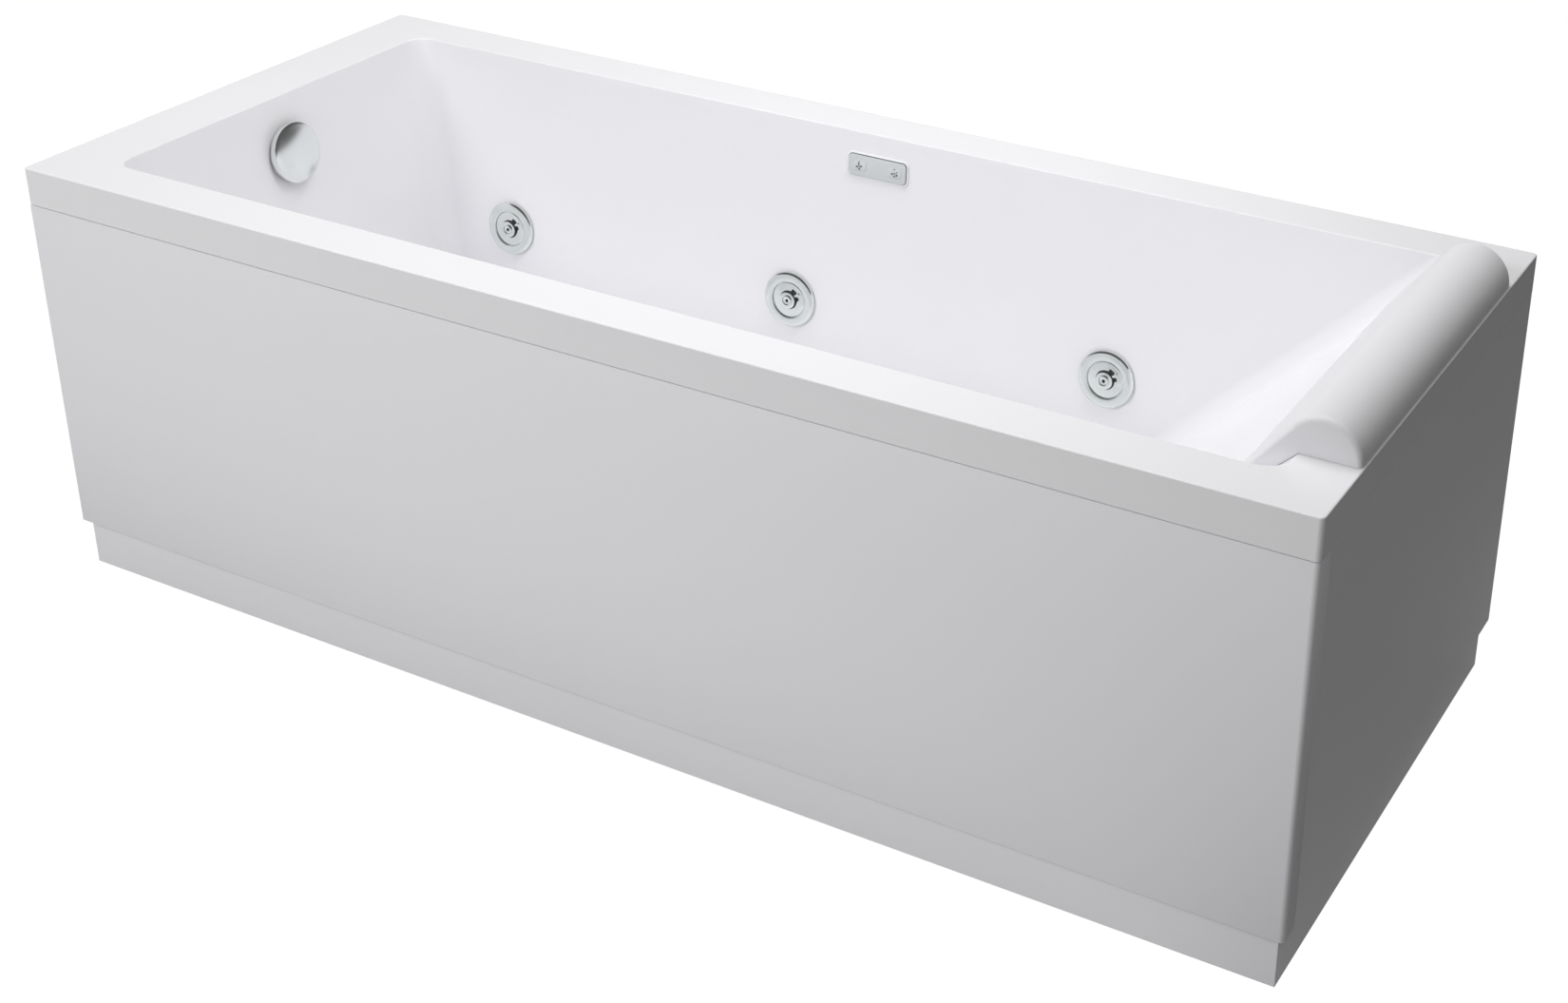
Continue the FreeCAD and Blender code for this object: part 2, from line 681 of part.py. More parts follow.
def panel_clips():
    """Clips from the frame to the panels, and from the feet to the plinths."""
    clips = []
    z0 = RAIL_BOTTOM + (RAIL - CLIP_H) / 2
    rail_face = RAIL_Y + RAIL / 2
    for i in range(PANEL_CLIP_COUNT):
        x = (i - (PANEL_CLIP_COUNT - 1) / 2) * PANEL_CLIP_PITCH
        clips.append(box(x - CLIP_W / 2, x + CLIP_W / 2, -PANEL_Y + PANEL_T, -rail_face, z0, z0 + CLIP_H))
    member_face = END_MEMBER_X + RAIL / 2
    for y in (-END_CLIP_PITCH / 2, END_CLIP_PITCH / 2):
        y0 = y - CLIP_W / 2
        clips.append(box(member_face, PANEL_X - PANEL_T, y0, y0 + CLIP_W, z0, z0 + CLIP_H))
        clips.append(box(-PANEL_X + PANEL_T, -member_face, y0, y0 + CLIP_W, z0, z0 + CLIP_H))
    low = PLINTH_H / 2
    half = CLIP_EYE
    for x in foot_places_x():
        arm = box(x - half, x + half, -PLINTH_Y + PLINTH_T, -RAIL_Y + half, low, low + CLIP_H)
        if x != 0:
            arm = arm.fuse(foot_to_end_arm(x, -RAIL_Y, half, low)).removeSplitter()
        clips.append(arm.cut(cylinder(FOOT_STUD_R, low, low + CLIP_H, x, -RAIL_Y)))
        if x != 0:
            back = foot_to_end_arm(x, RAIL_Y, half, low)
            clips.append(back.cut(cylinder(FOOT_STUD_R, low, low + CLIP_H, x, RAIL_Y)))
    return group(clips)


def foot_to_end_arm(x, y, half, low):
    reach = PLINTH_X - PLINTH_T
    if x > 0:
        return box(x - half, reach, y - half, y + half, low, low + CLIP_H)
    return box(-reach, x + half, y - half, y + half, low, low + CLIP_H)


def rim_clips():
    """Blocks bonded behind the fascia; the panels' top edges hook on them."""
    low = PANEL_TOP - RIM_CLIP_LAP
    y = SIDE_Y - WALL
    x_in = END_X - WALL
    clips = []
    for i in range(PANEL_CLIP_COUNT):
        x = (i - (PANEL_CLIP_COUNT - 1) / 2) * PANEL_CLIP_PITCH
        clips.append(box(x - CLIP_W / 2, x + CLIP_W / 2, -y, -y + RIM_CLIP_T, low, RIM_UNDER))
    for middle in (-END_CLIP_PITCH / 2, END_CLIP_PITCH / 2):
        y0 = middle - CLIP_W / 2
        clips.append(box(x_in - RIM_CLIP_T, x_in, y0, y0 + CLIP_W, low, RIM_UNDER))
        clips.append(box(-x_in, -x_in + RIM_CLIP_T, y0, y0 + CLIP_W, low, RIM_UNDER))
    return group(clips)


def wall_brackets():
    """Angle brackets on the wall that the rim's back edge hooks over."""
    top = FASCIA_BOTTOM - BRACKET_T
    hook_y = SIDE_Y - WALL - BRACKET_GAP
    brackets = []
    for x in (-BRACKET_X, BRACKET_X):
        x0 = x - BRACKET_W / 2
        x1 = x + BRACKET_W / 2
        plate = box(x0, x1, SIDE_Y - BRACKET_T, SIDE_Y, top - BRACKET_H, top)
        step = box(x0, x1, hook_y - BRACKET_T, SIDE_Y, top - BRACKET_T, top)
        hook = box(x0, x1, hook_y - BRACKET_T, hook_y, top - BRACKET_T, FASCIA_BOTTOM + BRACKET_LAP)
        bracket = plate.fuse([step, hook]).removeSplitter()
        for dx in (-BRACKET_HOLE_PITCH / 2, BRACKET_HOLE_PITCH / 2):
            at = V(x + dx, SIDE_Y - BRACKET_T, top - BRACKET_H / 2)
            bracket = bracket.cut(rod(BRACKET_HOLE_R, at, at + V(0, BRACKET_T, 0)))
        brackets.append(bracket)
    return group(brackets)


# --- jets ------------------------------------------------------------------------------------------------
JET_RING_TOP = JET_GASKET_T + JET_RING_H
JET_SEAT_Z = JET_RING_TOP - JET_DIAL_SEAT
JET_NECK_END = JET_GASKET_T - JET_NECK_L
JET_DIAL_TOP = JET_SEAT_Z + RUN_FIT + JET_DIAL_T
JET_BOSS_TOP = JET_DIAL_TOP + JET_BOSS_H
JET_BALL_Z = JET_BOSS_TOP - JET_BALL_SINK


def revolve(points):
    """Turn an outline of (radius, height) points about the local Z axis."""
    corners = [V(r, 0, z) for r, z in points]
    face = Part.Face(Part.makePolygon(corners + corners[:1]))
    return face.revolve(V(0, 0, 0), V(0, 0, 1), 360)


def jet_ring():
    top = JET_RING_TOP
    outline = [(JET_NECK_BORE, JET_NECK_END), (JET_NECK_R, JET_NECK_END), (JET_NECK_R, JET_GASKET_T),
               (JET_RING_R, JET_GASKET_T), (JET_RING_R, top - JET_RING_DROP),
               (JET_RING_R - JET_RING_CROWN, top - JET_RING_FALL), (JET_RING_R - JET_RING_SLOPE, top),
               (JET_DIAL_R + RUN_FIT, top), (JET_DIAL_R + RUN_FIT, JET_SEAT_Z),
               (JET_NECK_BORE, JET_SEAT_Z)]
    return revolve(outline)


def jet_dial():
    """Turning dial: face, boss and a sleeve that snaps behind the ring's neck."""
    sleeve_r = JET_NECK_BORE - RUN_FIT
    low = JET_NECK_END - RUN_FIT
    outline = [(0, low - JET_SNAP_T), (sleeve_r, low - JET_SNAP_T), (JET_NECK_BORE + JET_SNAP_LIP, low),
               (sleeve_r, low), (sleeve_r, JET_SEAT_Z + RUN_FIT), (JET_DIAL_R, JET_SEAT_Z + RUN_FIT),
               (JET_DIAL_R, JET_DIAL_TOP - JET_DIAL_EDGE), (JET_DIAL_R - JET_DIAL_EDGE, JET_DIAL_TOP),
               (JET_BOSS_R + JET_BOSS_FLARE, JET_DIAL_TOP), (JET_BOSS_R, JET_BOSS_TOP), (0, JET_BOSS_TOP)]
    dial = revolve(outline)
    seat = Part.makeSphere(JET_BALL_R + RUN_FIT, V(0, 0, JET_BALL_Z))
    throat = cylinder(JET_THROAT_R, low - JET_SNAP_T, JET_BALL_Z)
    dial = dial.cut(seat).cut(throat)
    for angle in JET_PIN_TILTS:
        dial = dial.cut(cylinder(JET_PIN_R, JET_DIAL_TOP - JET_PIN_DEEP, JET_DIAL_TOP,
                                 JET_PIN_OUT * cos(angle), JET_PIN_OUT * sin(angle)))
    ridge = box(JET_BOSS_R, JET_DIAL_R - JET_RIDGE_IN, -JET_RIDGE_W / 2, JET_RIDGE_W / 2,
                JET_DIAL_TOP, JET_DIAL_TOP + JET_RIDGE_H)
    ridge.rotate(V(0, 0, 0), V(0, 0, 1), JET_RIDGE_TILT)
    return dial.fuse(ridge).removeSplitter()


def jet_nozzle():
    """Ball with a tip; the bore runs right through."""
    tip_end = JET_BOSS_TOP + JET_TIP_OUT
    ball = Part.makeSphere(JET_BALL_R, V(0, 0, JET_BALL_Z))
    nozzle = ball.fuse(cylinder(JET_TIP_R, JET_BALL_Z, tip_end))
    return nozzle.cut(cylinder(JET_TIP_BORE, JET_BALL_Z - JET_BALL_R, tip_end))


def jet_body():
    """Cup behind the wall with a water port each way along the tub and an air port on top."""
    back = -WALL - JET_BODY_L
    flange = cylinder(JET_FLANGE_R, -WALL - JET_BODY_WALL, -WALL)
    body = flange.fuse(cylinder(JET_BODY_R, back, -WALL))
    port_a = V(-JET_PORT_REACH, 0, -JET_PORT_DEPTH)
    port_b = V(JET_PORT_REACH, 0, -JET_PORT_DEPTH)
    body = body.fuse(rod(PIPE_R, port_a, port_b))
    body = body.fuse(rod(AIR_R, V(0, 0, -JET_PORT_DEPTH), V(0, JET_AIR_REACH, -JET_PORT_DEPTH)))
    body = body.cut(cylinder(JET_NECK_R, JET_NECK_END, -WALL))
    body = body.cut(cylinder(JET_NECK_R - JET_BODY_STEP, back + JET_BODY_WALL, JET_NECK_END))
    body = body.cut(rod(PIPE_BORE, port_a, port_b))
    return body.cut(rod(AIR_BORE, V(0, 0, -JET_PORT_DEPTH), V(0, JET_AIR_REACH, -JET_PORT_DEPTH)))


def jet_gasket():
    return ring(JET_RING_R - JET_GASKET_IN, JET_NECK_R + JET_HOLE_CLEAR, 0, JET_GASKET_T)


# --- pipes -----------------------------------------------------------------------------------------------
def port_point(index, side_x):
    """Open end of a jet's water port; side_x is +1 towards the head end of the row's own frame."""
    frame = jet_places()[index]
    ends = [frame.multVec(V(sx * JET_PORT_REACH, 0, -JET_PORT_DEPTH)) for sx in (-1, 1)]
    ends.sort(key=lambda p: p.x)
    return ends[0] if side_x < 0 else ends[1]


def water_pipe(side):
    """Runs between the jets of one side, and the hose from the pump's tee to the first of them."""
    first = 0 if side > 0 else JETS_PER_SIDE
    parts = []
    for i in range(first, first + JETS_PER_SIDE - 1):
        a = port_point(i, 1)
        b = port_point(i + 1, -1)
        parts.append(rod(PIPE_R, a, b).cut(rod(PIPE_BORE, a, b)))
    start = port_point(first + JETS_PER_SIDE - 1, 1)
    end = V(PUMP_X + OUTLET_X, tee_y() + side * TEE_ARM, TEE_Z)
    route = [start, V(start.x + PIPE_STRAIGHT, start.y, start.z), V(end.x, start.y, TEE_Z), end]
    parts.append(hose(route, (PIPE_BEND_R, PIPE_END_BEND_R), PIPE_R, PIPE_BORE))
    return group(parts)


def tee_y():
    return VOLUTE_FRONT_Y + VOLUTE_L / 2


def air_pipes():
    """One pipe over each row of jets, with a drop to every air port and an intake at its foot end."""
    pipes = []
    level = JET_AIR_REACH + AIR_R
    frames = jet_places()
    for first in (0, JETS_PER_SIDE):
        row = frames[first:first + JETS_PER_SIDE]
        tops = [f.multVec(V(0, level, -JET_PORT_DEPTH)) for f in row]
        start = tops[0] - V(INTAKE_PAST, 0, 0)
        end = tops[-1] + V(2 * AIR_R, 0, 0)
        pipe = rod(AIR_R, start, end)
        pipe = pipe.fuse(rod(INTAKE_R, start - V(INTAKE_L, 0, 0), start))
        drops = [(f.multVec(V(0, JET_AIR_REACH, -JET_PORT_DEPTH)), t) for f, t in zip(row, tops)]
        for low, high in drops:
            pipe = pipe.fuse(rod(AIR_R, low, high))
        pipe = pipe.cut(rod(AIR_BORE, start - V(INTAKE_L, 0, 0), end - V(AIR_R, 0, 0)))
        for low, high in drops:
            pipe = pipe.cut(rod(AIR_BORE, low, high))
        pipes.append(pipe)
    return group(pipes)


# --- pump ------------------------------------------------------------------------------------------------
def along_y(radius, y0, y1, x=PUMP_X, z=PUMP_Z):
    return Part.makeCylinder(radius, y1 - y0, V(x, y0, z), V(0, 1, 0))


def pump_motor():
    motor = along_y(MOTOR_R, MOTOR_FRONT_Y, MOTOR_BACK_Y)
    middle = (MOTOR_FRONT_Y + MOTOR_BACK_Y) / 2
    for i in range(FIN_COUNT):
        y = middle + (i - (FIN_COUNT - 1) / 2) * FIN_PITCH
        fin = along_y(MOTOR_R + FIN_H, y - FIN_T / 2, y + FIN_T / 2)
        below = box(PUMP_X - 2 * MOTOR_R, PUMP_X + 2 * MOTOR_R, y - FIN_T, y + FIN_T, 0, PUMP_Z)
        motor = motor.fuse(fin.cut(below))
    top = PUMP_Z + MOTOR_R
    half_w = TERMINAL_W / 2
    half_l = TERMINAL_L / 2
    motor = motor.fuse(box(PUMP_X - half_w, PUMP_X + half_w, middle - half_l, middle + half_l,
                           PUMP_Z, top + TERMINAL_H))
    hollow = along_y(MOTOR_R - MOTOR_WALL, MOTOR_FRONT_Y + 2 * MOTOR_WALL, MOTOR_BACK_Y - 2 * MOTOR_WALL)
    motor = motor.cut(hollow)
    return motor.cut(along_y(SHAFT_R + RUN_FIT, MOTOR_FRONT_Y, MOTOR_BACK_Y - MOTOR_WALL))


def pump_volute():
    """Spiral casing with an axial inlet and a riser that ends in a tee."""
    x = PUMP_X + OUTLET_X
    y = tee_y()
    casing = along_y(VOLUTE_R, VOLUTE_FRONT_Y, MOTOR_FRONT_Y)
    riser = rod(TEE_R, V(x, y, PUMP_Z), V(x, y, TEE_Z))
    arm_a = V(x, y - TEE_ARM, TEE_Z)
    arm_b = V(x, y + TEE_ARM, TEE_Z)
    inlet = along_y(INLET_R, VOLUTE_FRONT_Y - INLET_L, VOLUTE_FRONT_Y)
    volute = casing.fuse([riser, rod(TEE_R, arm_a, arm_b), inlet])
    chamber = along_y(VOLUTE_R - 2 * VOLUTE_WALL, VOLUTE_FRONT_Y + VOLUTE_WALL, MOTOR_FRONT_Y - VOLUTE_WALL)
    bores = [chamber, rod(PIPE_BORE, V(x, y, PUMP_Z), V(x, y, TEE_Z)), rod(PIPE_BORE, arm_a, arm_b),
             along_y(INLET_BORE, VOLUTE_FRONT_Y - INLET_L, VOLUTE_FRONT_Y + VOLUTE_WALL),
             along_y(SHAFT_R + RUN_FIT, MOTOR_FRONT_Y - VOLUTE_WALL, MOTOR_FRONT_Y)]
    for bore in bores:
        volute = volute.cut(bore)
    return volute


def pump_rotor():
    """Shaft, rotor core and impeller in one turning piece."""
    disc_y = MOTOR_FRONT_Y - VOLUTE_WALL - IMPELLER_CLEAR
    shaft = along_y(SHAFT_R, disc_y - IMPELLER_T, MOTOR_BACK_Y - 1.5 * MOTOR_WALL)
    middle = (MOTOR_FRONT_Y + MOTOR_BACK_Y) / 2
    rotor = shaft.fuse(along_y(ROTOR_R, middle - ROTOR_L / 2, middle + ROTOR_L / 2))
    rotor = rotor.fuse(along_y(IMPELLER_R, disc_y - IMPELLER_T, disc_y))
    for i in range(VANE_COUNT):
        y0 = disc_y - IMPELLER_T - VANE_H
        vane = box(SHAFT_R, IMPELLER_R - VANE_SINK, -VANE_T / 2, VANE_T / 2, 0, VANE_H + VANE_SINK)
        vane.rotate(V(0, 0, 0), V(0, 0, 1), 360.0 / VANE_COUNT * i)
        vane.rotate(V(0, 0, 0), V(1, 0, 0), -90)
        vane.translate(V(PUMP_X, y0, PUMP_Z))
        rotor = rotor.fuse(vane)
    return rotor


def pump_cradle():
    """Base plate and two saddles under the motor."""
    middle = (MOTOR_FRONT_Y + MOTOR_BACK_Y) / 2
    x0 = PUMP_X - CRADLE_W / 2
    x1 = PUMP_X + CRADLE_W / 2
    cradle = box(x0, x1, middle - CRADLE_L / 2, middle + CRADLE_L / 2, SHELF_TOP, SHELF_TOP + CRADLE_T)
    high = PUMP_Z - SADDLE_DROP
    for y in (middle - CRADLE_L / 2, middle + CRADLE_L / 2 - SADDLE_T):
        cradle = cradle.fuse(box(x0, x1, y, y + SADDLE_T, SHELF_TOP, high))
    return cradle.cut(along_y(MOTOR_R, MOTOR_FRONT_Y, MOTOR_BACK_Y)).removeSplitter()


def pump_shelf():
    reach = RAIL_Y + RAIL / 2
    x0 = PUMP_X - SHELF_LENGTH / 2
    return box(x0, x0 + SHELF_LENGTH, -reach, reach, RAIL_TOP, SHELF_TOP)


# --- suction fitting -------------------------------------------------------------------------------------
def suction_body():
    back = -WALL - SUCTION_BODY_L
    body = cylinder(SUCTION_BODY_R, back, -WALL).fuse(cylinder(SUCTION_NECK_R, -WALL, 0))
    depth = -(WALL + SUCTION_BODY_L / 2)
    reach = V(-SUCTION_REACH, 0, depth)
    body = body.fuse(rod(INLET_R, V(0, 0, depth), reach))
    body = body.cut(cylinder(SUCTION_NECK_R - SUCTION_WALL, back + SUCTION_WALL, 0))
    return body.cut(rod(INLET_BORE, V(0, 0, depth), reach))


def suction_grille():
    """Domed anti-entrapment cover with slots."""
    r = SUCTION_GRILLE_R
    h = SUCTION_GRILLE_H
    web_r = SUCTION_NECK_R - GRILLE_WEB
    outline = [(0, GRILLE_LIFT), (r, GRILLE_LIFT), (r, GRILLE_SIDE), (r - GRILLE_SIDE, GRILLE_BROW),
               (r - GRILLE_CROWN, h), (0, h)]
    grille = revolve(outline)
    grille = grille.cut(cylinder(web_r, 0, h - GRILLE_SKIN))
    for i in range(SUCTION_SLOTS):
        y = (i - (SUCTION_SLOTS - 1) / 2) * SUCTION_SLOT_PITCH
        half = math.sqrt(max(web_r ** 2 - y * y, 0.0)) - GRILLE_WEB_END
        if half > SUCTION_SLOT_W:
            grille = grille.cut(box(-half, half, y - SUCTION_SLOT_W / 2, y + SUCTION_SLOT_W / 2, 0, h))
    return grille


def suction_hose():
    frame = long_wall_frame(SUCTION_X, SUCTION_Z, -1)
    start = frame.multVec(V(-SUCTION_REACH, 0, -(WALL + SUCTION_BODY_L / 2)))
    end = V(PUMP_X, VOLUTE_FRONT_Y - INLET_L, PUMP_Z)
    route = [start, V(start.x + SUCTION_STRAIGHT, start.y, start.z), V(PUMP_X, start.y, PUMP_Z), end]
    return hose(route, (SUCTION_BEND_R, SUCTION_END_BEND_R), INLET_R, INLET_BORE)


# --- keypad ----------------------------------------------------------------------------------------------
def keypad_frame():
    return long_wall_frame(KEYPAD_X, KEYPAD_Z, 1)


def keypad_plate():
    """Face plate with two key windows and a housing that passes through the wall."""
    plate = rounded_box(KEYPAD_W, KEYPAD_H, KEYPAD_CORNER_R, 0, KEYPAD_T)
    front = [e for e in plate.Edges if all(abs(v.Z - KEYPAD_T) < 0.01 for v in e.Vertexes)]
    plate = plate.makeFillet(KEYPAD_EDGE_R, front)
    house_w = KEYPAD_W - 2 * KEYPAD_LIP
    house_h = KEYPAD_H - 2 * KEYPAD_LIP_Y
    plate = plate.fuse(rounded_box(house_w, house_h, KEY_CORNER_R, -KEYPAD_DEEP, KEYPAD_ROOT))
    low = -KEYPAD_DEEP + KEYPAD_SHELL
    cavity = box(-house_w / 2 + KEYPAD_SHELL, house_w / 2 - KEYPAD_SHELL,
                 -house_h / 2 + KEYPAD_SHELL, house_h / 2 - KEYPAD_SHELL, low, key_ceiling())
    plate = plate.cut(cavity)
    for x in (-KEY_X, KEY_X):
        window = rounded_box(KEY_W + 2 * KEY_GAP, KEY_H + 2 * KEY_GAP, KEY_CORNER_R, 0, KEYPAD_T)
        window.translate(V(x, 0, 0))
        plate = plate.cut(window)
    return plate


def key_ceiling():
    return KEYPAD_T - KEYPAD_SHELL


def keypad_key(x):
    """Sprung key: cap in its window, flange under the plate and a stem to its switch."""
    top = key_ceiling() - RUN_FIT
    key = rounded_box(KEY_W, KEY_H, KEY_CORNER_R, top - KEY_FLANGE_T, KEYPAD_T + KEY_PROUD)
    flange = box(-KEY_W / 2 - KEY_FLANGE, KEY_W / 2 + KEY_FLANGE, -KEY_H / 2 - KEY_FLANGE,
                 KEY_H / 2 + KEY_FLANGE, top - KEY_FLANGE_T, top)
    stem = cylinder(KEY_STEM_R, switch_top() + KEY_TRAVEL + SWITCH_GAP, top - KEY_FLANGE_T)
    key = key.fuse([flange, stem])
    key.translate(V(x, 0, 0))
    return placed(key, keypad_frame())


def switch_top():
    return -KEYPAD_DEEP / 2


def keypad_board():
    """Circuit board with one switch under each key and the cable's connector."""
    w = KEYPAD_W - 2 * KEYPAD_LIP - 2 * KEYPAD_SHELL
    h = KEYPAD_H - 2 * KEYPAD_LIP_Y - 2 * KEYPAD_SHELL
    low = -KEYPAD_DEEP + KEYPAD_SHELL
    board = box(-w / 2, w / 2, -h / 2, h / 2, low, low + BOARD_THICK)
    for x in (-KEY_X, KEY_X):
        board = board.fuse(box(x - SWITCH_HALF, x + SWITCH_HALF, -SWITCH_HALF, SWITCH_HALF,
                               low, switch_top()))
    return placed(board.removeSplitter(), keypad_frame())


def keypad_cable():
    """Cable clipped under the rim from the keypad to the control box."""
    start = keypad_frame().multVec(V(0, 0, -KEYPAD_DEEP))
    out = keypad_frame().multVec(V(0, 0, -KEYPAD_DEEP - KEYPAD_CABLE_OUT))
    x = box_centre_x()
    y = box_centre_y()
    top = BOX_BASE_Z + BOX_Z
    route = [start, out, V(out.x + CABLE_RUN, out.y, out.z - CABLE_FALL),
             V(x - CABLE_BEFORE, out.y, top + CABLE_BEFORE_UP), V(x, y, top + CABLE_OVER), V(x, y, top)]
    return sweep(route, (CABLE_FIRST_R, CABLE_TURN_R, CABLE_SWEEP_R, CABLE_DROP_R), CABLE_R)


# --- control box -----------------------------------------------------------------------------------------
def box_x0():
    return END_MEMBER_X - POST / 2 - BOX_X


def box_centre_x():
    return box_x0() + BOX_X / 2


def box_y0():
    return RAIL_Y + POST / 2 - BOX_Y


def box_centre_y():
    return box_y0() + BOX_Y / 2


def control_box():
    """Splash-proof case screwed to the head-end post, open to its lid."""
    x0 = box_x0()
    y0 = box_y0()
    outer = box(x0 + LID_T, x0 + BOX_X, y0, y0 + BOX_Y, BOX_BASE_Z, BOX_BASE_Z + BOX_Z)
    inner = box(x0 + LID_T, x0 + BOX_X - BOX_WALL, y0 + BOX_WALL, y0 + BOX_Y - BOX_WALL,
                BOX_BASE_Z + BOX_WALL, BOX_BASE_Z + BOX_Z - BOX_WALL)
    case = outer.cut(inner)
    hole = cylinder(GLAND_THREAD_R, BOX_BASE_Z, BOX_BASE_Z + BOX_WALL, box_centre_x(), box_centre_y())
    return case.cut(hole)


def control_box_lid():
    x0 = box_x0()
    y0 = box_y0()
    return box(x0, x0 + LID_T, y0, y0 + BOX_Y, BOX_BASE_Z, BOX_BASE_Z + BOX_Z)


def mains_gland():
    x = box_centre_x()
    y = box_centre_y()
    gland = cylinder(GLAND_R, BOX_BASE_Z - GLAND_L, BOX_BASE_Z, x, y)
    gland = gland.fuse(cylinder(GLAND_THREAD_R, BOX_BASE_Z, BOX_BASE_Z + BOX_WALL, x, y))
    return gland.cut(cylinder(GLAND_BORE, BOX_BASE_Z - GLAND_L, BOX_BASE_Z + BOX_WALL, x, y))


# --- overflow --------------------------------------------------------------------------------------------
def overflow_knob():
    """Dished cap with a skirt, a shaft and the drum that winds the control cable."""
    face = KNOB_OUT
    cap = cylinder(KNOB_R, KNOB_GAP, face)
    front = [e for e in cap.Edges if abs(e.BoundBox.ZMin - face) < 0.01]
    cap = cap.makeFillet(KNOB_EDGE_R, front)
    dish_edge = KNOB_R - 2 * KNOB_EDGE_R
    dish_r = (dish_edge ** 2 + KNOB_DISH ** 2) / (2 * KNOB_DISH)
    cap = cap.cut(Part.makeSphere(dish_r, V(0, 0, face + dish_r - KNOB_DISH)))
    cap = cap.cut(cylinder(KNOB_R - KNOB_WALL, KNOB_GAP, face - KNOB_FACE_T))
    drum_z = -ELBOW_PORT_DEPTH
    cap = cap.fuse(cylinder(KNOB_SHAFT_R, drum_z, face - KNOB_FACE_T + SHAFT_ROOT))
    cap = cap.fuse(cylinder(CABLE_DRUM_R, drum_z, drum_z + CABLE_DRUM_T))
    return placed(cap, foot_wall_frame(OVERFLOW_Z))


def overflow_rosette():
    """Perforated disc on the wall, with the knob's bearing."""
    disc = cylinder(ROSETTE_R, 0, ROSETTE_T).fuse(cylinder(KNOB_SHAFT_R + BEARING_WALL, -WALL, ROSETTE_T))
    disc = disc.cut(cylinder(KNOB_SHAFT_R + RUN_FIT, -WALL, ROSETTE_T))
    for i in range(ROSETTE_HOLES):
        angle = 360.0 / ROSETTE_HOLES * i
        disc = disc.cut(cylinder(ROSETTE_HOLE_R, 0, ROSETTE_T,
                                 ROSETTE_PCD_R * cos(angle), ROSETTE_PCD_R * sin(angle)))
    return placed(disc, foot_wall_frame(OVERFLOW_Z))


def overflow_elbow():
    back = -WALL - ELBOW_L
    depth = -ELBOW_PORT_DEPTH
    body = cylinder(ELBOW_R, back, -WALL).fuse(cylinder(ELBOW_NECK_R, -WALL, 0))
    body = body.fuse(rod(HOSE_R, V(0, 0, depth), V(0, -ELBOW_PORT_REACH, depth)))
    body = body.cut(cylinder(ELBOW_NECK_R - ELBOW_WALL, back + ELBOW_WALL, 0))
    body = body.cut(rod(HOSE_BORE, V(0, 0, depth), V(0, -ELBOW_PORT_REACH, depth)))
    gland = rod(CORD_R + CORD_GLAND_WALL, V(cord_side(), -CORD_GLAND_START, CORD_DEPTH),
                V(cord_side(), -CORD_GLAND_END, CORD_DEPTH))
    gland = gland.cut(cylinder(ELBOW_NECK_R, back, 0))
    body = body.fuse(gland)
    return placed(body, foot_wall_frame(OVERFLOW_Z))


def cord_side():
    """The control cable runs down beside the overflow hose."""
    return HOSE_R + CORD_R + CORD_CLEAR


def overflow_hose():
    frame = foot_wall_frame(OVERFLOW_Z)
    start = frame.multVec(V(0, -ELBOW_PORT_REACH, -ELBOW_PORT_DEPTH))
    down = V(sin(FOOT_TILT), 0, -cos(FOOT_TILT))
    corner = start + down * ((start.z - TRAP_PORT_Z) / cos(FOOT_TILT))
    end = V(WASTE_X - TRAP_INLET_REACH, 0, TRAP_PORT_Z)
    return hose([start, corner, end], (HOSE_BEND_R,), HOSE_R, HOSE_BORE)


# --- waste -----------------------------------------------------------------------------------------------
def waste_flange():
    """Dished flange on the basin floor; its spider guides the plug's stem."""
    low = FLOOR_Z - WASTE_NECK_L
    top = FLOOR_Z + WASTE_FLANGE_T
    flange = cylinder(WASTE_FLANGE_R, FLOOR_Z, top).fuse(cylinder(WASTE_NECK_R, low, FLOOR_Z))
    flange = flange.cut(cylinder(WASTE_BORE, low, top))
    high = low + SPIDER_H
    spider = cylinder(PLUG_STEM_R + SPIDER_WALL, low, high)
    for i in range(SPIDER_ARMS):
        arm = box(0, WASTE_BORE + SPIDER_ROOT, -SPIDER_ARM_T / 2, SPIDER_ARM_T / 2, low, high)
        arm.rotate(V(0, 0, 0), V(0, 0, 1), 360.0 / SPIDER_ARMS * i)
        spider = spider.fuse(arm)
    flange = flange.fuse(spider).cut(cylinder(PLUG_STEM_R + RUN_FIT, low, high)).removeSplitter()
    flange.translate(V(WASTE_X, 0, 0))
    return flange


def waste_plug():
    top = FLOOR_Z + WASTE_FLANGE_T
    low = FLOOR_Z - WASTE_NECK_L - PLUG_STEM_PAST
    rest = top + PLUG_REST
    seal_r = WASTE_BORE - PLUG_SEAL_GAP
    seal_low = rest - PLUG_SEAL_T
    outline = [(0, low), (PLUG_STEM_R, low), (PLUG_STEM_R, seal_low), (WASTE_BORE - PLUG_SEAL_IN, seal_low),
               (seal_r, rest - PLUG_BAND), (seal_r, rest), (PLUG_R, rest), (PLUG_R, rest + PLUG_BAND),
               (PLUG_R - PLUG_EDGE_IN, rest + PLUG_T - PLUG_EDGE_DROP),
               (PLUG_R - PLUG_FACE_IN, rest + PLUG_T), (0, rest + PLUG_T)]
    plug = revolve(outline)
    plug.translate(V(WASTE_X, 0, 0))
    return plug


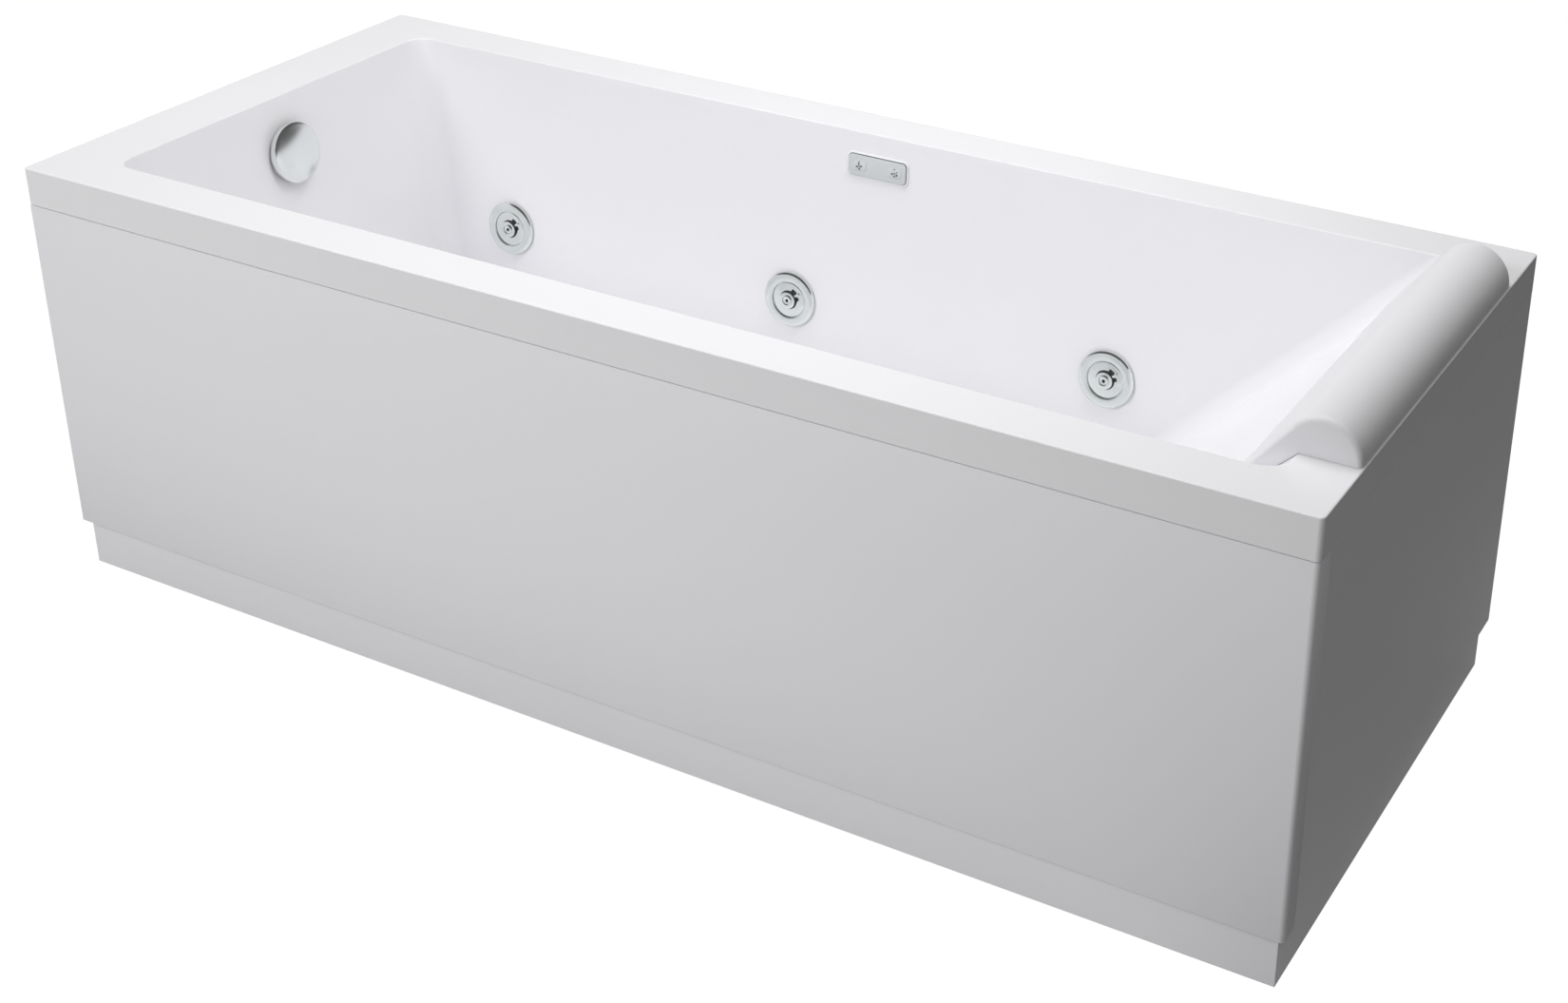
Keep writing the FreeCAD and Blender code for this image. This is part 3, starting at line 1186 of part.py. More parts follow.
def waste_trap():
    """Cup trap clamped under the basin, with the overflow's inlet and the outlet spigot."""
    step = TRAP_CUP_TOP + TRAP_WALL
    collar_low = BOARD_TOP - TRAP_COLLAR_H
    outline = [(0, TRAP_BOTTOM), (TRAP_CUP_R, TRAP_BOTTOM), (TRAP_CUP_R, TRAP_CUP_TOP),
               (TRAP_BARREL_R, TRAP_CUP_TOP), (TRAP_BARREL_R, collar_low), (TRAP_COLLAR_R, collar_low),
               (TRAP_COLLAR_R, BOARD_TOP), (0, BOARD_TOP)]
    trap = revolve(outline)
    inlet = (V(0, 0, TRAP_PORT_Z), V(-TRAP_INLET_REACH, 0, TRAP_PORT_Z))
    outlet = (V(0, 0, TRAP_PORT_Z), V(0, TRAP_OUTLET_REACH, TRAP_PORT_Z))
    shoulder = (V(0, 0, TRAP_PORT_Z), V(0, TRAP_OUTLET_REACH - TRAP_SPIGOT_L, TRAP_PORT_Z))
    trap = trap.fuse([rod(HOSE_R, *inlet), rod(TRAP_OUTLET_R, *outlet), rod(TRAP_SHOULDER_R, *shoulder)])
    cord = (V(0, CORD_Y, cord_z()), V(-TRAP_BARREL_R - CORD_GLAND_L, CORD_Y, cord_z()))
    trap = trap.fuse(rod(CORD_R + CORD_GLAND_WALL, *cord))
    trap = trap.cut(cylinder(WASTE_NECK_R, step, BOARD_TOP))
    trap = trap.cut(cylinder(TRAP_CUP_R - TRAP_WALL, TRAP_BOTTOM + TRAP_WALL, TRAP_CUP_TOP - TRAP_WALL))
    trap = trap.cut(cylinder(WASTE_NECK_R - TRAP_BAFFLE_WALL, TRAP_CUP_TOP - TRAP_WALL, step))
    trap = trap.cut(rod(HOSE_BORE, *inlet)).cut(rod(TRAP_OUTLET_R - TRAP_WALL, *outlet))
    trap.translate(V(WASTE_X, 0, 0))
    return trap


def cord_z():
    return (TRAP_CUP_TOP + RAIL_TOP) / 2


def control_cable():
    """Pull cable in its sheath, from the overflow control down to the waste."""
    frame = foot_wall_frame(OVERFLOW_Z)
    start = frame.multVec(V(cord_side(), -CORD_GLAND_END, CORD_DEPTH))
    down = V(sin(FOOT_TILT), 0, -cos(FOOT_TILT))
    end = V(WASTE_X - TRAP_BARREL_R - CORD_GLAND_L, CORD_Y, cord_z())
    approach = end - V(CORD_APPROACH, 0, 0)
    drop = start + down * ((start.z - cord_z()) / cos(FOOT_TILT))
    return sweep([start, drop, approach, end], (CORD_DROP_R, CORD_RUN_R), CORD_R)


# --- headrest --------------------------------------------------------------------------------------------
def headrest_profile():
    """Side outline of the cushion: flat on the rim, then down the backrest, with a round roll on top."""
    back = END_X - REST_OUTER
    low = HEIGHT + REST_CLEAR
    lean = V(-sin(HEAD_TILT), 0, -cos(HEAD_TILT))
    square = V(-cos(HEAD_TILT), 0, sin(HEAD_TILT))
    notch = V(END_X - RIM_HEAD - REST_CLEAR, 0, low)
    tail = notch + lean * REST_NOSE + square * REST_CLEAR
    nose = tail + lean * REST_TIP_RUN + square * REST_TIP
    heel = V(back, 0, low)
    bridge = tail + square * REST_BRIDGE + lean * REST_BRIDGE_RUN
    roll = V(back - REST_ROLL_R, 0, HEIGHT + REST_CREST - REST_ROLL_R)
    reach = roll - nose
    slope = math.degrees(math.atan2(reach.z, reach.x) + math.asin(REST_ROLL_R / reach.Length))
    chest = roll + V(-sin(slope), 0, cos(slope)) * REST_ROLL_R
    crest = roll + V(0, 0, REST_ROLL_R)
    rear = roll + V(REST_ROLL_R, 0, 0)
    return [Part.LineSegment(heel, notch).toShape(), Part.LineSegment(notch, tail).toShape(),
            Part.Arc(tail, bridge, nose).toShape(), Part.LineSegment(nose, chest).toShape(),
            Part.Arc(chest, crest, rear).toShape(), Part.LineSegment(rear, heel).toShape()]


def headrest():
    wire = Part.Wire(headrest_profile())
    wire.translate(V(0, -REST_LENGTH / 2, 0))
    cushion = Part.Face(wire).extrude(V(0, REST_LENGTH, 0))
    ends = []
    for edge in cushion.Edges:
        bounds = edge.BoundBox
        at_end = bounds.YMax - bounds.YMin < 0.01
        if at_end and bounds.ZMax > HEIGHT + 1:
            ends.append(edge)
    return cushion.makeFillet(REST_EDGE_R, ends)


# --- build -----------------------------------------------------------------------------------------------
def jets():
    """Grouped fixed pieces, and one dial and one nozzle for each jet."""
    frames = jet_places()
    pieces = {}
    for name, make in (("jet_rings", jet_ring), ("jet_bodies", jet_body), ("jet_gaskets", jet_gasket)):
        shape = make()
        pieces[name] = group([placed(shape, frame) for frame in frames])
    dial = jet_dial()
    nozzle = jet_nozzle()
    for number, frame in enumerate(frames, start=1):
        pieces["jet_dial_%d" % number] = placed(dial, frame)
        pieces["jet_nozzle_%d" % number] = placed(nozzle, frame)
    return pieces


def build():
    suction_place = long_wall_frame(SUCTION_X, SUCTION_Z, -1)
    pieces = {
        "tub_shell": tub_shell(),
        "front_panel": front_panel(),
        "head_end_panel": head_end_panel(),
        "foot_end_panel": foot_end_panel(),
        "front_plinth": front_plinth(),
        "head_end_plinth": end_plinth(1),
        "foot_end_plinth": end_plinth(-1),
        "base_board": base_board(),
        "frame_rails": frame_rails(),
        "cross_members": cross_members(),
        "frame_posts": frame_posts(),
        "levelling_feet": levelling_feet(),
        "foot_nuts": foot_nuts(),
        "panel_clips": panel_clips(),
        "rim_clips": rim_clips(),
        "wall_brackets": wall_brackets(),
        "water_pipe_front": water_pipe(-1),
        "water_pipe_back": water_pipe(1),
        "air_pipes": air_pipes(),
        "pump_motor": pump_motor(),
        "pump_volute": pump_volute(),
        "pump_rotor": pump_rotor(),
        "pump_cradle": pump_cradle(),
        "pump_shelf": pump_shelf(),
        "suction_body": placed(suction_body(), suction_place),
        "suction_grille": placed(suction_grille(), suction_place),
        "suction_hose": suction_hose(),
        "keypad_plate": placed(keypad_plate(), keypad_frame()),
        "keypad_board": keypad_board(),
        "key_left": keypad_key(-KEY_X),
        "key_right": keypad_key(KEY_X),
        "keypad_cable": keypad_cable(),
        "control_box": control_box(),
        "control_box_lid": control_box_lid(),
        "mains_gland": mains_gland(),
        "overflow_knob": overflow_knob(),
        "overflow_rosette": overflow_rosette(),
        "overflow_elbow": overflow_elbow(),
        "overflow_hose": overflow_hose(),
        "control_cable": control_cable(),
        "waste_flange": waste_flange(),
        "waste_plug": waste_plug(),
        "waste_trap": waste_trap(),
        "headrest": headrest(),
    }
    pieces.update(jets())
    return pieces


os.makedirs("parts", exist_ok=True)
for piece_name, piece in build().items():
    piece.exportStep("parts/%s.step" % piece_name)
    print("%-18s solids %2d  valid %s  volume %.1f cm3"
          % (piece_name, len(piece.Solids), piece.isValid(), piece.Volume / 1000.0))
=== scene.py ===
# %% [markdown]
# # A jetted bathtub
#
# This lesson dresses the measured model of a panelled bathtub with six water jets. The measured pieces come
# first, because they fix every size and every joint. The pieces that show in a bathroom are then modelled
# over them with Blender's own tools, and the hidden frame, pump and pipes keep their measured shape and get
# their real finishes.

# %% Load the measured pieces
import json
import math
import bpy
import bmesh
from mathutils import Matrix, Vector


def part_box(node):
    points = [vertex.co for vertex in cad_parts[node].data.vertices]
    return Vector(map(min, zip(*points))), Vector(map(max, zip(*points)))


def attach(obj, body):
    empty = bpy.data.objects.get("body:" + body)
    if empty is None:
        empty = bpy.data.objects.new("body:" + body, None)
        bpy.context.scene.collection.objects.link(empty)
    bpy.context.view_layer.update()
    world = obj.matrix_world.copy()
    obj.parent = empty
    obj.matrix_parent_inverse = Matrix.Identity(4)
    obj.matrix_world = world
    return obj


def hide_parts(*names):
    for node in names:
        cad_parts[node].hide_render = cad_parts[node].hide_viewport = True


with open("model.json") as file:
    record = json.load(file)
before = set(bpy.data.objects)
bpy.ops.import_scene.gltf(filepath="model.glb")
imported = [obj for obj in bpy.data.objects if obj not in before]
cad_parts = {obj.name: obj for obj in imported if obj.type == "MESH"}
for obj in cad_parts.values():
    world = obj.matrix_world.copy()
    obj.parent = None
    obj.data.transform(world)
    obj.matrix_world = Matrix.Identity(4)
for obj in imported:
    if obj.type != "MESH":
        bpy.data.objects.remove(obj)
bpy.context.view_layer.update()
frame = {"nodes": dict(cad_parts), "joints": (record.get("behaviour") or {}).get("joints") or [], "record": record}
tub_low, tub_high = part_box("tub_shell")

# %% [markdown]
# ## The camera
#
# The camera comes first, so that every piece can be judged from the same place. It stands in front of the
# head-end corner and looks down into the tub. Its place was worked out from the eight corners of rim and
# plinth. Two shifts, in pixels of the picture, slide it without turning the camera, as a view camera does.

# %% Camera at the measured place
AZIMUTH = math.radians(28.2496)
ELEVATION = math.radians(25.6341)
ROLL = math.radians(0.9153)
EYE = Vector((1.439398, -2.175407, 1.671115))
SENSOR_MM = 36.0
FOCAL_MM = 54.07
PICTURE_WIDTH = 1650
SLIDE_ACROSS = -180.0
SLIDE_UP = -191.3
back = Vector((math.sin(AZIMUTH) * math.cos(ELEVATION),
               -math.cos(AZIMUTH) * math.cos(ELEVATION),
               math.sin(ELEVATION)))
level = (-back).cross(Vector((0, 0, 1))).normalized()
upright = level.cross(-back)
right = math.cos(ROLL) * level + math.sin(ROLL) * upright
above = -math.sin(ROLL) * level + math.cos(ROLL) * upright
lens = bpy.data.cameras.new("photo_camera")
lens.sensor_width = SENSOR_MM
lens.lens = FOCAL_MM
lens.shift_x = SLIDE_ACROSS / PICTURE_WIDTH
lens.shift_y = SLIDE_UP / PICTURE_WIDTH
camera = bpy.data.objects.new("photo_camera", lens)
bpy.context.scene.collection.objects.link(camera)
turn = Matrix((right, above, back)).transposed().to_4x4()
camera.matrix_world = Matrix.Translation(EYE) @ turn
bpy.context.scene.camera = camera
print("camera at", camera.location, "lens", lens.lens)

# %% [markdown]
# ## Studio
#
# A shop picture of a white tub has a white surround, but white walls all round would wash out its shape.
# So the surround is white for whoever looks straight at it, and it lights the tub no more than a dim room
# would. Polished metal needs something dark to show its shape, so in reflections the ceiling and the wall
# past the head end are dark. Wide lamps above and in front do the lighting, and the head end stays in shade.

# %% White surround that gives little light
world = bpy.data.worlds.new("studio")
bpy.context.scene.world = world
world.use_nodes = True
sky = world.node_tree
sky.nodes.clear()
DIM_ROOM = 0.34
DIM_TINT = (1.0, 1.0, 0.97, 1)
DARK_STUDIO = 0.10


def seen_directly(tree):
    """1 for camera, glossy and transmission rays, 0 for the rays that only carry light."""
    path = tree.nodes.new("ShaderNodeLightPath")
    first = tree.nodes.new("ShaderNodeMath")
    first.operation = "MAXIMUM"
    second = tree.nodes.new("ShaderNodeMath")
    second.operation = "MAXIMUM"
    tree.links.new(path.outputs["Is Camera Ray"], first.inputs[0])
    tree.links.new(path.outputs["Is Glossy Ray"], first.inputs[1])
    tree.links.new(first.outputs[0], second.inputs[0])
    tree.links.new(path.outputs["Is Transmission Ray"], second.inputs[1])
    return second.outputs[0]


dim = sky.nodes.new("ShaderNodeBackground")
dim.inputs["Color"].default_value = DIM_TINT
dim.inputs["Strength"].default_value = DIM_ROOM
white = sky.nodes.new("ShaderNodeBackground")
white.inputs["Strength"].default_value = 1.0
direction = sky.nodes.new("ShaderNodeTexCoord")
split = sky.nodes.new("ShaderNodeSeparateXYZ")
sky.links.new(direction.outputs["Generated"], split.inputs[0])


def fade(axis, start, end):
    """Falls from 1 to the dark of the studio as a reflection turns further along an axis."""
    ramp = sky.nodes.new("ShaderNodeMapRange")
    ramp.interpolation_type = "SMOOTHSTEP"
    ramp.inputs["From Min"].default_value = start
    ramp.inputs["From Max"].default_value = end
    ramp.inputs["To Min"].default_value = 1.0
    ramp.inputs["To Max"].default_value = DARK_STUDIO
    sky.links.new(split.outputs[axis], ramp.inputs["Value"])
    return ramp.outputs["Result"]


mirrored = sky.nodes.new("ShaderNodeMath")
mirrored.operation = "MINIMUM"
sky.links.new(fade("Z", start=0.05, end=0.35), mirrored.inputs[0])
sky.links.new(fade("X", start=0.25, end=0.80), mirrored.inputs[1])
from_camera = sky.nodes.new("ShaderNodeLightPath")
shown = sky.nodes.new("ShaderNodeMath")
shown.operation = "MAXIMUM"
sky.links.new(mirrored.outputs[0], shown.inputs[0])
sky.links.new(from_camera.outputs["Is Camera Ray"], shown.inputs[1])
sky.links.new(shown.outputs[0], white.inputs["Color"])
choose = sky.nodes.new("ShaderNodeMixShader")
sky_out = sky.nodes.new("ShaderNodeOutputWorld")
sky.links.new(seen_directly(sky), choose.inputs["Fac"])
sky.links.new(dim.outputs[0], choose.inputs[1])
sky.links.new(white.outputs[0], choose.inputs[2])
sky.links.new(choose.outputs[0], sky_out.inputs["Surface"])
print("surround light", DIM_ROOM, "dark in reflections", DARK_STUDIO)

# %% Floor that fades into the surround
# To the camera the floor glows white. To light it is grey paper, which darkens past the head end, so that the
# head-end panel stays in shade.
FLOOR_SIZE = 40.0
FLOOR_Z = -0.0004
DARKENS_FROM = 0.7
DARKENS_TO = 1.05
PAPER_GREY = 0.62
PAPER_DARK = 0.04
PAPER_WHITE = (0.85, 0.85, 0.85, 1)
GLOW = 1.05
GLOW_SHARE = 0.95
bpy.ops.object.select_all(action="DESELECT")
bpy.ops.mesh.primitive_plane_add(size=FLOOR_SIZE, location=(0, 0, FLOOR_Z))
floor = bpy.context.object
floor.name = "studio_floor"
paint = bpy.data.materials.new("floor_paper")
paint.use_nodes = True
tree = paint.node_tree
tree.nodes.clear()
grey_paper = tree.nodes.new("ShaderNodeBsdfDiffuse")
floor_place = tree.nodes.new("ShaderNodeTexCoord")
floor_axes = tree.nodes.new("ShaderNodeSeparateXYZ")
floor_grey = tree.nodes.new("ShaderNodeMapRange")
floor_grey.inputs["From Min"].default_value = DARKENS_FROM
floor_grey.inputs["From Max"].default_value = DARKENS_TO
floor_grey.inputs["To Min"].default_value = PAPER_GREY
floor_grey.inputs["To Max"].default_value = PAPER_DARK
tree.links.new(floor_place.outputs["Object"], floor_axes.inputs[0])
tree.links.new(floor_axes.outputs["X"], floor_grey.inputs["Value"])
tree.links.new(floor_grey.outputs["Result"], grey_paper.inputs["Color"])
white_paper = tree.nodes.new("ShaderNodeBsdfDiffuse")
white_paper.inputs["Color"].default_value = PAPER_WHITE
glow = tree.nodes.new("ShaderNodeEmission")
glow.inputs["Strength"].default_value = GLOW
glow_share = tree.nodes.new("ShaderNodeMixShader")
glow_share.inputs["Fac"].default_value = GLOW_SHARE
pick_view = tree.nodes.new("ShaderNodeMixShader")
floor_out = tree.nodes.new("ShaderNodeOutputMaterial")
tree.links.new(white_paper.outputs[0], glow_share.inputs[1])
tree.links.new(glow.outputs[0], glow_share.inputs[2])
to_camera = tree.nodes.new("ShaderNodeLightPath")
tree.links.new(to_camera.outputs["Is Camera Ray"], pick_view.inputs["Fac"])
tree.links.new(grey_paper.outputs[0], pick_view.inputs[1])
tree.links.new(glow_share.outputs[0], pick_view.inputs[2])
tree.links.new(pick_view.outputs[0], floor_out.inputs["Surface"])
floor.data.materials.append(paint)
print("floor", floor.dimensions)

# %% Lamps


def soft_lamp(name, place, aim, width, height, power):
    """A rectangular lamp at a place, turned towards its aim. It doesn't show in reflections."""
    light = bpy.data.lights.new(name, "AREA")
    light.shape = "RECTANGLE"
    light.size = width
    light.size_y = height
    light.energy = power
    lamp = bpy.data.objects.new(name, light)
    bpy.context.scene.collection.objects.link(lamp)
    lamp.location = place
    lamp.rotation_euler = (Vector(aim) - Vector(place)).to_track_quat("-Z", "Y").to_euler()
    lamp.visible_glossy = False


soft_lamp("lamp_above", (-0.80, 0.60, 2.5), (-0.80, 0.60, 0.4), width=2.0, height=1.8, power=14.0)
soft_lamp("lamp_basin", (0.25, 0.05, 2.0), (-0.90, 0.05, 0.3), width=0.7, height=1.1, power=12.4)
soft_lamp("lamp_front", (-1.5, -3.9, 3.3), (-0.2, 0, 0.4), width=3.0, height=1.6, power=94.0)
bpy.context.scene.view_settings.view_transform = "Standard"

# %% [markdown]
# ## Working by hand, in code
#
# Every piece is made as at the screen: add a primitive, go into edit mode, pick faces or edges, and extrude,
# inset, bevel or spin them. These few helpers do the clicking. An operator works on everything that is
# selected, so each helper starts with nothing selected.

# %% Helpers for selecting and shaping
# A point counts as lying on a plane when it is within NEAR of it, in metres. A face counts as facing along an
# axis when its normal's share of that axis is above FACING.
NEAR = 0.001
FACING = 0.9


def clear():
    if bpy.context.mode != "OBJECT":
        bpy.ops.object.mode_set(mode="OBJECT")
    bpy.ops.object.select_all(action="DESELECT")


def take(obj):
    clear()
    obj.select_set(True)
    bpy.context.view_layer.objects.active = obj


def named(name):
    """Names the primitive just added and puts its place into its mesh."""
    obj = bpy.context.object
    obj.name = name
    obj.data.name = name
    bpy.ops.object.transform_apply(location=True, rotation=True, scale=True)
    return obj


def block(name, low, high):
    clear()
    middle = (Vector(low) + Vector(high)) / 2
    bpy.ops.mesh.primitive_cube_add(size=1.0, location=middle)
    obj = bpy.context.object
    obj.scale = Vector(high) - Vector(low)
    return named(name)


def pick(kind, test):
    """In edit mode, selects just the faces, edges or points that pass the test, and counts them."""
    bpy.ops.mesh.select_mode(type=kind)
    bpy.ops.mesh.select_all(action="DESELECT")
    data = bpy.context.edit_object.data
    mesh = bmesh.from_edit_mesh(data)
    mesh.normal_update()
    pool = {"FACE": mesh.faces, "EDGE": mesh.edges, "VERT": mesh.verts}[kind]
    found = [part for part in pool if test(part)]
    for part in found:
        part.select_set(True)
    mesh.select_flush_mode()
    bmesh.update_edit_mesh(data)
    return len(found)


def edit(obj):
    take(obj)
    bpy.ops.object.mode_set(mode="EDIT")
    bpy.ops.mesh.select_all(action="DESELECT")


def move(x=0.0, y=0.0, z=0.0):
    bpy.ops.transform.translate(value=(x, y, z))


def pull(x=0.0, y=0.0, z=0.0):
    bpy.ops.mesh.extrude_region_move(TRANSFORM_OT_translate={"value": (x, y, z)})


def round_off(width, steps):
    bpy.ops.mesh.bevel(offset=width, segments=steps, profile=0.5, affect="EDGES", clamp_overlap=False)


def modify(obj, kind, **settings):
    """Adds a modifier, sets it and applies it."""
    take(obj)
    modifier = obj.modifiers.new(kind.lower(), kind)
    for name, value in settings.items():
        setattr(modifier, name, value)
    bpy.ops.object.modifier_apply(modifier=modifier.name)


def smooth(obj, degrees=35):
    take(obj)
    bpy.ops.object.shade_smooth_by_angle(angle=math.radians(degrees))


def soften(obj, width, steps=2, degrees=40):
    """Breaks all sharp edges a little, as moulding and handling do."""
    modify(obj, "BEVEL", width=width, segments=steps, limit_method="ANGLE", angle_limit=math.radians(degrees))


def carve(obj, cutters):
    """Cuts the cutters' shapes out of the piece."""
    take(cutters[0])
    for cutter in cutters:
        cutter.select_set(True)
    if len(cutters) > 1:
        bpy.ops.object.join()
    tool = bpy.context.object
    modify(obj, "BOOLEAN", operation="DIFFERENCE", solver="EXACT", material_mode="TRANSFER", object=tool)
    bpy.data.objects.remove(tool)


def fuse(name, pieces):
    """Joins pieces into one object, each keeping its own closed surface."""
    take(pieces[0])
    for piece in pieces:
        piece.select_set(True)
    bpy.ops.object.join()
    joined = bpy.context.object
    joined.name = name
    joined.data.name = name
    return joined


def copy_to(obj, name, place):
    """A copy with its own mesh, put in its place."""
    twin = bpy.data.objects.new(name, obj.data.copy())
    bpy.context.scene.collection.objects.link(twin)
    twin.data.transform(place)
    return twin


def drawn(name, points):
    """An outline drawn point by point in the XZ plane, from (x, z) points in millimetres."""
    clear()
    start = Vector((points[0][0], 0, points[0][1])) / 1000
    bpy.ops.mesh.primitive_plane_add(size=0.001, location=start)
    obj = named(name)
    edit(obj)
    bpy.ops.mesh.select_mode(type="VERT")
    bpy.ops.mesh.select_all(action="SELECT")
    bpy.ops.mesh.merge(type="CENTER")
    for here, there in zip(points, points[1:]):
        step = (Vector((there[0], 0, there[1])) - Vector((here[0], 0, here[1]))) / 1000
        bpy.ops.mesh.extrude_vertices_move(TRANSFORM_OT_translate={"value": step})
    return obj


def turned(name, points, steps=72):
    """A piece turned on a lathe about Z, from its outline of (radius, height) points."""
    obj = drawn(name, points)
    bpy.ops.mesh.select_all(action="SELECT")
    bpy.ops.mesh.spin(steps=steps, angle=math.tau, center=(0, 0, 0), axis=(0, 0, 1))
    bpy.ops.mesh.select_all(action="SELECT")
    bpy.ops.mesh.remove_doubles(threshold=0.000002)
    bpy.ops.mesh.normals_make_consistent(inside=False)
    bpy.ops.object.mode_set(mode="OBJECT")
    return obj


print("helpers ready")

# %% [markdown]
# ## Finishes shared by many pieces
#
# No moulded or rolled surface is quite even: its gloss wanders a little and its light breaks softly. One
# node group gives both, as a mask from 0 to 1 and as a height, and each finish sets its own scale. Metal
# that is drawn or brushed has fine lines along one direction, and a second group gives those.

# %% Group: gentle unevenness
uneven = bpy.data.node_groups.new("gentle_unevenness", "ShaderNodeTree")
uneven.interface.new_socket(name="Scale", in_out="INPUT", socket_type="NodeSocketFloat")
uneven.interface.new_socket(name="Fine Scale", in_out="INPUT", socket_type="NodeSocketFloat")
uneven.interface.new_socket(name="Mask", in_out="OUTPUT", socket_type="NodeSocketFloat")
uneven.interface.new_socket(name="Height", in_out="OUTPUT", socket_type="NodeSocketFloat")
g_in = uneven.nodes.new("NodeGroupInput")
g_out = uneven.nodes.new("NodeGroupOutput")
where = uneven.nodes.new("ShaderNodeTexCoord")
broad = uneven.nodes.new("ShaderNodeTexNoise")
broad.inputs["Detail"].default_value = 3.0
fine = uneven.nodes.new("ShaderNodeTexNoise")
fine.inputs["Detail"].default_value = 2.0
stretch = uneven.nodes.new("ShaderNodeMapRange")
stretch.interpolation_type = "SMOOTHSTEP"
stretch.inputs["From Min"].default_value = 0.2
stretch.inputs["From Max"].default_value = 0.8
uneven.links.new(where.outputs["Object"], broad.inputs["Vector"])
uneven.links.new(where.outputs["Object"], fine.inputs["Vector"])
uneven.links.new(g_in.outputs["Scale"], broad.inputs["Scale"])
uneven.links.new(g_in.outputs["Fine Scale"], fine.inputs["Scale"])
uneven.links.new(broad.outputs["Fac"], stretch.inputs["Value"])
uneven.links.new(stretch.outputs["Result"], g_out.inputs["Mask"])
uneven.links.new(fine.outputs["Fac"], g_out.inputs["Height"])
print("group", uneven.name)

# %% Group: drawn lines in metal
lines = bpy.data.node_groups.new("drawn_lines", "ShaderNodeTree")
lines.interface.new_socket(name="Stretch", in_out="INPUT", socket_type="NodeSocketVector")
lines.interface.new_socket(name="Lines", in_out="OUTPUT", socket_type="NodeSocketFloat")
l_in = lines.nodes.new("NodeGroupInput")
l_out = lines.nodes.new("NodeGroupOutput")
l_where = lines.nodes.new("ShaderNodeTexCoord")
pulled = lines.nodes.new("ShaderNodeVectorMath")
pulled.operation = "MULTIPLY"
grain = lines.nodes.new("ShaderNodeTexNoise")
grain.inputs["Scale"].default_value = 1.0
grain.inputs["Detail"].default_value = 4.0
lines.links.new(l_where.outputs["Object"], pulled.inputs[0])
lines.links.new(l_in.outputs["Stretch"], pulled.inputs[1])
lines.links.new(pulled.outputs[0], grain.inputs["Vector"])
lines.links.new(grain.outputs["Fac"], l_out.inputs["Lines"])
print("group", lines.name)

# %% Making a finish from the groups
# The mix node has sockets for numbers, vectors and colours. These are the colour ones.
MIX_FIRST = 6
MIX_SECOND = 7
MIX_RESULT = 2
COAT_ROUGHNESS = 0.08
LINE_DEPTH = 0.0002


def ramp_between(tree, factor, dark, light):
    """Mixes two colours by a mask."""
    mix = tree.nodes.new("ShaderNodeMix")
    mix.data_type = "RGBA"
    mix.inputs[MIX_FIRST].default_value = (*dark, 1)
    mix.inputs[MIX_SECOND].default_value = (*light, 1)
    tree.links.new(factor, mix.inputs[0])
    return mix.outputs[MIX_RESULT]


def spread(tree, factor, low, high):
    """Turns a mask into a number between low and high."""
    span = tree.nodes.new("ShaderNodeMapRange")
    span.inputs["To Min"].default_value = low
    span.inputs["To Max"].default_value = high
    tree.links.new(factor, span.inputs["Value"])
    return span.outputs["Result"]


def raise_by(tree, height, strength, distance):
    bump = tree.nodes.new("ShaderNodeBump")
    bump.inputs["Strength"].default_value = strength
    bump.inputs["Distance"].default_value = distance
    tree.links.new(height, bump.inputs["Height"])
    return bump.outputs["Normal"]


def finish_of(name, dark, light, rough, scale, fine_scale, bump, metal=0.0, coat=0.0):
    """A finish whose colour and roughness wander between two values each, at the broad scale.

    The fine scale carries a surface bump, given as its strength and its depth in metres.
    """
    material = bpy.data.materials.new(name)
    material.use_nodes = True
    tree = material.node_tree
    shader = tree.nodes["Principled BSDF"]
    group = tree.nodes.new("ShaderNodeGroup")
    group.node_tree = uneven
    group.inputs["Scale"].default_value = scale
    group.inputs["Fine Scale"].default_value = fine_scale
    tree.links.new(ramp_between(tree, group.outputs["Mask"], dark, light), shader.inputs["Base Color"])
    tree.links.new(spread(tree, group.outputs["Mask"], *rough), shader.inputs["Roughness"])
    tree.links.new(raise_by(tree, group.outputs["Height"], *bump), shader.inputs["Normal"])
    shader.inputs["Metallic"].default_value = metal
    shader.inputs["Coat Weight"].default_value = coat
    shader.inputs["Coat Roughness"].default_value = COAT_ROUGHNESS
    return material


def drawn_metal(name, dark, light, rough, stretch, strength):
    """Metal with fine lines along its length."""
    material = bpy.data.materials.new(name)
    material.use_nodes = True
    tree = material.node_tree
    shader = tree.nodes["Principled BSDF"]
    group = tree.nodes.new("ShaderNodeGroup")
    group.node_tree = lines
    group.inputs["Stretch"].default_value = stretch
    out = group.outputs["Lines"]
    tree.links.new(ramp_between(tree, out, dark, light), shader.inputs["Base Color"])
    tree.links.new(spread(tree, out, *rough), shader.inputs["Roughness"])
    tree.links.new(raise_by(tree, out, strength, LINE_DEPTH), shader.inputs["Normal"])
    shader.inputs["Metallic"].default_value = 1.0
    return material


print("finish helpers ready")

# %% [markdown]
# ## The finishes themselves
#
# The tub and its panels are white acrylic. It is glossy, faintly blue and never a pure white, and its gloss
# wanders with the way the sheet was drawn over its mould. The panels are the same sheet with a little less
# polish. Jets are satin chrome on plastic. Knob, waste and plug are polished chrome. Behind the panels there
# are powder-coated steel, zinc, chipboard, rigid white pipe, grey hose, rubber and moulded pump housings.

